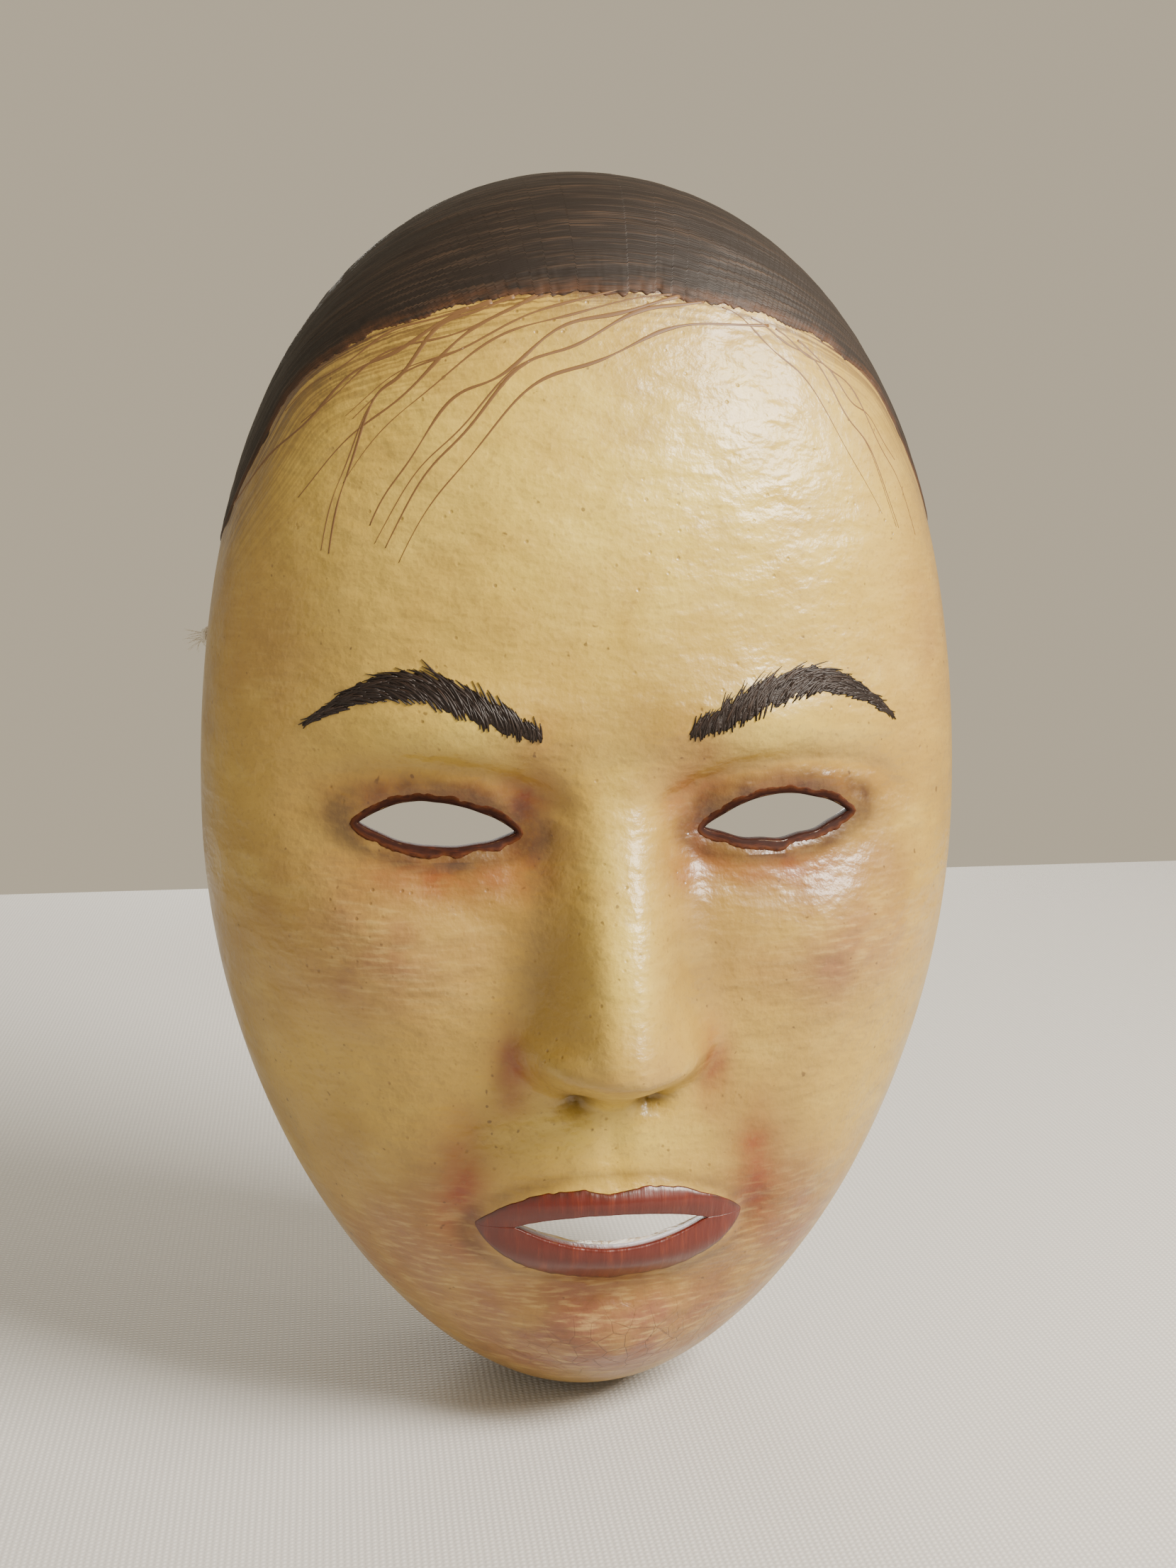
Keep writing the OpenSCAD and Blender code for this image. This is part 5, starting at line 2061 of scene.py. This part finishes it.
@dataclass
class HeadCord:
    """The round braided cord that hangs slack between the temples, its knots and frayed ends."""

    diameter: float = 1.6
    sides: int = 32
    step: float = 0.25
    lay_length: float = 3.4
    yarns: int = 4
    relief: float = 0.09
    knot_r: Pair = (1.05, 0.42)
    knot_thick: float = 0.62
    knot_x: float = 72.96
    fibres: int = 26
    fibre_r: float = 0.075
    half_route: tuple[Triple, ...] = (
        (-68, -8, 32), (-65, -8, 32), (-62, -8, 31.5), (-58, -8, 30), (-52, -7, 26.5), (-44, -7, 22),
        (-36, -6, 18.5), (-27, -6, 15.5), (-18, -5, 13.5), (-9, -5, 12.5), (0, -5, 12),
    )

    def route(self) -> Array:
        """The hanging line from bore to bore: a smooth curve through the route's places.

        Each stretch is the cubic that passes its two ends with its neighbours' slope.

        Returns:
            Even steps along it, in millimetres.
        """
        left = np.array(self.half_route, float)
        r = np.vstack([left, left[-2::-1] * (-1, 1, 1)])
        r = np.vstack([r[:1], r, r[-1:]])
        a = np.linspace(0.0, 1.0, 24, endpoint=False)[None, :, None]
        p0, p1, p2, p3 = (r[k : len(r) - 3 + k, None] for k in range(4))
        line = 2 * p1 + a * (p2 - p0) + a * a * (2 * p0 - 5 * p1 + 4 * p2 - p3)
        line = 0.5 * (line + a**3 * (3 * p1 - p0 - 3 * p2 + p3))
        line = np.vstack([line.reshape(-1, 3), r[-1:]])
        long = run(line)[-1]
        return follow(line, np.linspace(0.0, long, int(long / self.step)))

    def braid(self, path: Array, radius: float) -> tuple[Skin, Array]:
        """A braided tube: two sets of ribs that wind against each other.

        Args:
            path: its middle line.
            radius: its outer radius.

        Returns:
            The skin, and how deep each vertex lies between the yarns.
        """
        wound = np.pi * run(path)[:, None] / self.lay_length * 2
        turned = self.yarns * around(self.sides)[None, :]
        one, two = np.abs(np.cos(turned + wound)), np.abs(np.cos(turned - wound))
        high = np.maximum(one, two) ** 1.5
        skin = tube(path, radius - self.relief * (1 - high), self.sides)
        return skin, (1 - high).ravel()

    def build_knot(self, side: Side, yarn: bpy.types.Material) -> bpy.types.Object:
        """A stopper knot drawn up outside the wall, its stub through the bore and its frayed end.

        The knot is a trefoil: a line that winds three times round a ring while it runs twice
        along it.

        Args:
            side: which temple.
            yarn: the cord's material.

        Returns:
            The dressed knot.
        """
        rng = np.random.default_rng(121 + side.value)
        start = abs(self.half_route[0][0])
        y, z = self.half_route[0][1:]
        stub = np.linspace((start, y, z), (self.knot_x - 0.6, y, z), 24)
        t = np.linspace(0.0, 2 * np.pi, 161)[:-1]
        big, small = self.knot_r
        r = big + small * np.cos(3 * t)
        trefoil = np.stack(
            [self.knot_x + small * 1.5 * np.sin(3 * t), y + r * np.cos(2 * t), z + r * np.sin(2 * t)], axis=-1
        )
        closed = np.vstack([trefoil, trefoil[:2]])
        pieces = [self.braid(stub, self.diameter / 2), self.braid(closed, self.knot_thick)]
        u = np.linspace(0.0, 1.0, 9)[:, None]
        for _ in range(self.fibres):
            a, splay = rng.uniform(0, 2 * np.pi), rng.uniform(0.15, 0.75)
            long = rng.uniform(2.6, 4.8)
            way = np.array([1.0, splay * math.cos(a), splay * math.sin(a)])
            bend = rng.normal(0.0, 0.9, 3) + np.array([0.0, 0.0, -0.8])
            root = np.array([self.knot_x + 0.5, y + 0.5 * math.cos(a), z + 0.5 * math.sin(a)])
            path = root + way * long * 0.75 * u + bend * u**2
            thin = self.fibre_r * (1.0 - 0.6 * u[:, 0])
            fibre = tube(path, thin, 5)
            pieces.append((fibre, np.zeros(len(fibre[0]))))
        points, faces = joined([skin for skin, _ in pieces])
        points = points * (side.value, 1, 1)
        faces = faces if side is Side.RIGHT else [group[:, ::-1] for group in faces]
        marks = {"groove": np.concatenate([groove for _, groove in pieces])}
        piece = make_piece(f"frayed_stopper_knot_{side.word}", points, faces, marks)
        return dress(piece, yarn, "cord_braid", f"cord_knot_{side.word}")

    def build(self, yarn: bpy.types.Material) -> bpy.types.Object:
        """The cord and both knots.

        Args:
            yarn: the cord's material.

        Returns:
            The cord.
        """
        knots = [self.build_knot(side, yarn) for side in Side]
        path = self.route()
        (points, faces), groove = self.braid(path, self.diameter / 2)
        piece = make_piece("braided_head_cord", points, faces, {"groove": groove})
        dress(piece, yarn, "cord_braid", "head_cord")
        return piece


# ---- the studio ----


@dataclass
class Studio:
    """A pale floor that the mask stands on, soft lights, and the camera."""

    low: Triple
    high: Triple
    azimuth: float = -8.0
    elevation: float = 10.0
    distance: float = 0.36
    tall_share: float = 0.771
    right_share: float = -0.010
    up_share: float = 0.004
    picture: Pair = (1659.0, 2212.0)
    sensor: float = 36.0
    floor_half: float = 0.47
    floor_gap: float = 0.3
    floor_colour: str = "#CFCECB"
    air: str = "#CABDA5"
    air_strength: float = 0.92

    def back(self) -> Vector:
        """The way from the mask to the camera."""
        a, e = math.radians(self.azimuth), math.radians(self.elevation)
        return Vector((math.sin(a) * math.cos(e), -math.cos(a) * math.cos(e), math.sin(e)))

    def build_camera(self) -> bpy.types.Object:
        """Places the camera, and takes the lens and the shift from how tall the mask looks.

        Returns:
            The camera.
        """
        middle = (Vector(self.low) + Vector(self.high)) / 2
        camera = bpy.data.objects.new("camera", bpy.data.cameras.new("camera"))
        camera.location = middle + self.back() * self.distance
        turn = (-self.back()).to_track_quat("-Z", "Y")
        camera.rotation_euler = turn.to_euler()
        p, q = disc(60, 80, 1.0)
        seen = FaceForm().place(p, q).reshape(-1, 3) * MM - np.array(camera.location)
        seen = seen @ np.array(turn.to_matrix())
        across, up = seen[:, 0] / -seen[:, 2], seen[:, 1] / -seen[:, 2]
        data = camera.data
        data.sensor_fit, data.sensor_height = "VERTICAL", self.sensor
        view = float(np.ptp(up)) / self.tall_share
        data.lens = self.sensor / view
        wide = view * self.picture[0] / self.picture[1]
        longest = max(wide, view)
        data.shift_x = float((across.max() + across.min()) / 2 - self.right_share * wide) / longest
        data.shift_y = float((up.max() + up.min()) / 2 - self.up_share * view) / longest
        data.clip_start = 0.01
        bpy.context.scene.collection.objects.link(camera)
        bpy.context.scene.camera = camera
        return camera

    def build_floor(self) -> bpy.types.Object:
        """Lays the floor just under the chin: one level sheet of pale linen.

        Returns:
            The floor.
        """
        t = np.linspace(-self.floor_half, self.floor_half, 9) / MM
        x, y = np.meshgrid(t, t, indexing="ij")
        level = self.low[2] / MM - self.floor_gap
        points = np.stack([x, y, np.full_like(x, level)], axis=-1)
        floor = make_piece("linen_floor", points, [grid_faces(9, 9, turned=True)])
        linen = WovenCloth("pale linen", self.floor_colour, "#B9B8B5", "#C8C6C1", 1.2, ("X", "Y"))
        floor.data.materials.append(linen.make())
        floor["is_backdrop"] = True
        return floor

    def build_lights(self) -> None:
        """Hangs a window light at the upper right, a weak fill, a light behind, and pale air."""
        middle = (Vector(self.low) + Vector(self.high)) / 2
        lamps = (
            ("window", (0.52, -0.40, 0.50), 0.34, 19.0, "#FFF6EA"),
            ("fill", (-0.75, -0.55, 0.10), 0.80, 0.8, "#EEF2FF"),
            ("rear", (0.0, 0.90, 0.16), 0.30, 4.0, "#FFFDF8"),
        )
        for name, place, size, power, colour in lamps:
            data = bpy.data.lights.new(name, "AREA")
            data.energy, data.size, data.color = power, size, linear(colour)[:3]
            lamp = bpy.data.objects.new(name, data)
            lamp.location = middle + Vector(place)
            lamp.rotation_euler = (-Vector(place)).to_track_quat("-Z", "Y").to_euler()
            bpy.context.scene.collection.objects.link(lamp)
        world = bpy.data.worlds.new("air")
        bpy.context.scene.world = world
        world.use_nodes = True
        sky = world.node_tree.nodes["Background"]
        sky.inputs["Color"].default_value = linear(self.air)
        sky.inputs["Strength"].default_value = self.air_strength


def main() -> None:
    """Builds the mask from the camera and cord to the last painted line."""
    logging.basicConfig(level=logging.INFO, format="%(message)s")
    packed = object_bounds()
    studio = Studio(tuple(packed[0]), tuple(packed[1]))
    studio.build_camera()
    yarn = BraidedElastic().make()
    HeadCord().build(yarn)
    studio.build_floor()
    studio.build_lights()

    form = FaceForm()
    holes = openings(form)
    hair = HairPaint(form)
    shell = Shell(form, holes)
    shell.build_wall(hair)
    shell.build_lining()
    tape = RimTape(form)
    tape.build()

    hair_finish = BrushedPaint(
        "brushed ink and soot paint", "#1B120B", "#4A3829", "#51321A", 22.0, 1.0, 3.2,
        cover=0.85, coat=0.04, roughness=0.62, gloss=0.35, relief=0.8,
    ).make()
    hair.build_band(hair_finish)
    strand = BrushedPaint(
        "thinned ink drawn with a fine brush", "#6E4E2B", "#8A683C", "#8A683C", 6.0, 0.6, 0.1, relief=0.3
    ).make()
    hair.build_strands(strand)
    ink = BrushedPaint(
        "dry-brushed ink", "#1C0F08", "#3E2818", "#4A2D18", 5.0, 0.5, 0.1, coat=0.1, gloss=0.4
    ).make()
    band = BrushedPaint(
        "iron-oxide paint, brushed on", "#2A0D04", "#4C1F0B", "#5C3012", 5.0, 0.7, 0.9,
        roughness=0.7, gloss=0.2, relief=0.3,
    ).make()
    for side in Side:
        Eyebrow(form, hair, side).build(ink)
        EyeBand(form, holes[f"eye_{side.word}"], side).build(band)
    red = BrushedPaint(
        "vermilion and iron-oxide paint, varnished", "#581304", "#7E300B", "#3A1607", 9.0, 1.7, 1.3,
        cover=0.6, coat=0.40, roughness=0.42, relief=0.4,
    ).make()
    for lip in Lip:
        LipPaint(form, lip).build(red)

    cotton = WovenCloth("plain-woven cotton, quilted", "#E3D9C0", "#A89A78", "#A98E62", 0.8).make()
    FitPad(form, "stuffed_forehead_pad", "forehead_pad", (0.0, 76.0), (54.0, 20.0)).build(cotton, yarn)
    patch_paper = TornPaper("white handmade paper, torn and pasted", "#DDD3BC", "#BBAA85", "#A28F66").make()
    for side in Side:
        at, name = (side.value * 44.0, -34.0), f"cheek_pad_{side.word}"
        FitPad(form, f"stuffed_{name}", name, at, (20.0, 34.0)).build(cotton, yarn)
        TemplePatch(form, tape, side).build(patch_paper)


if __name__ == "__main__":
    main()
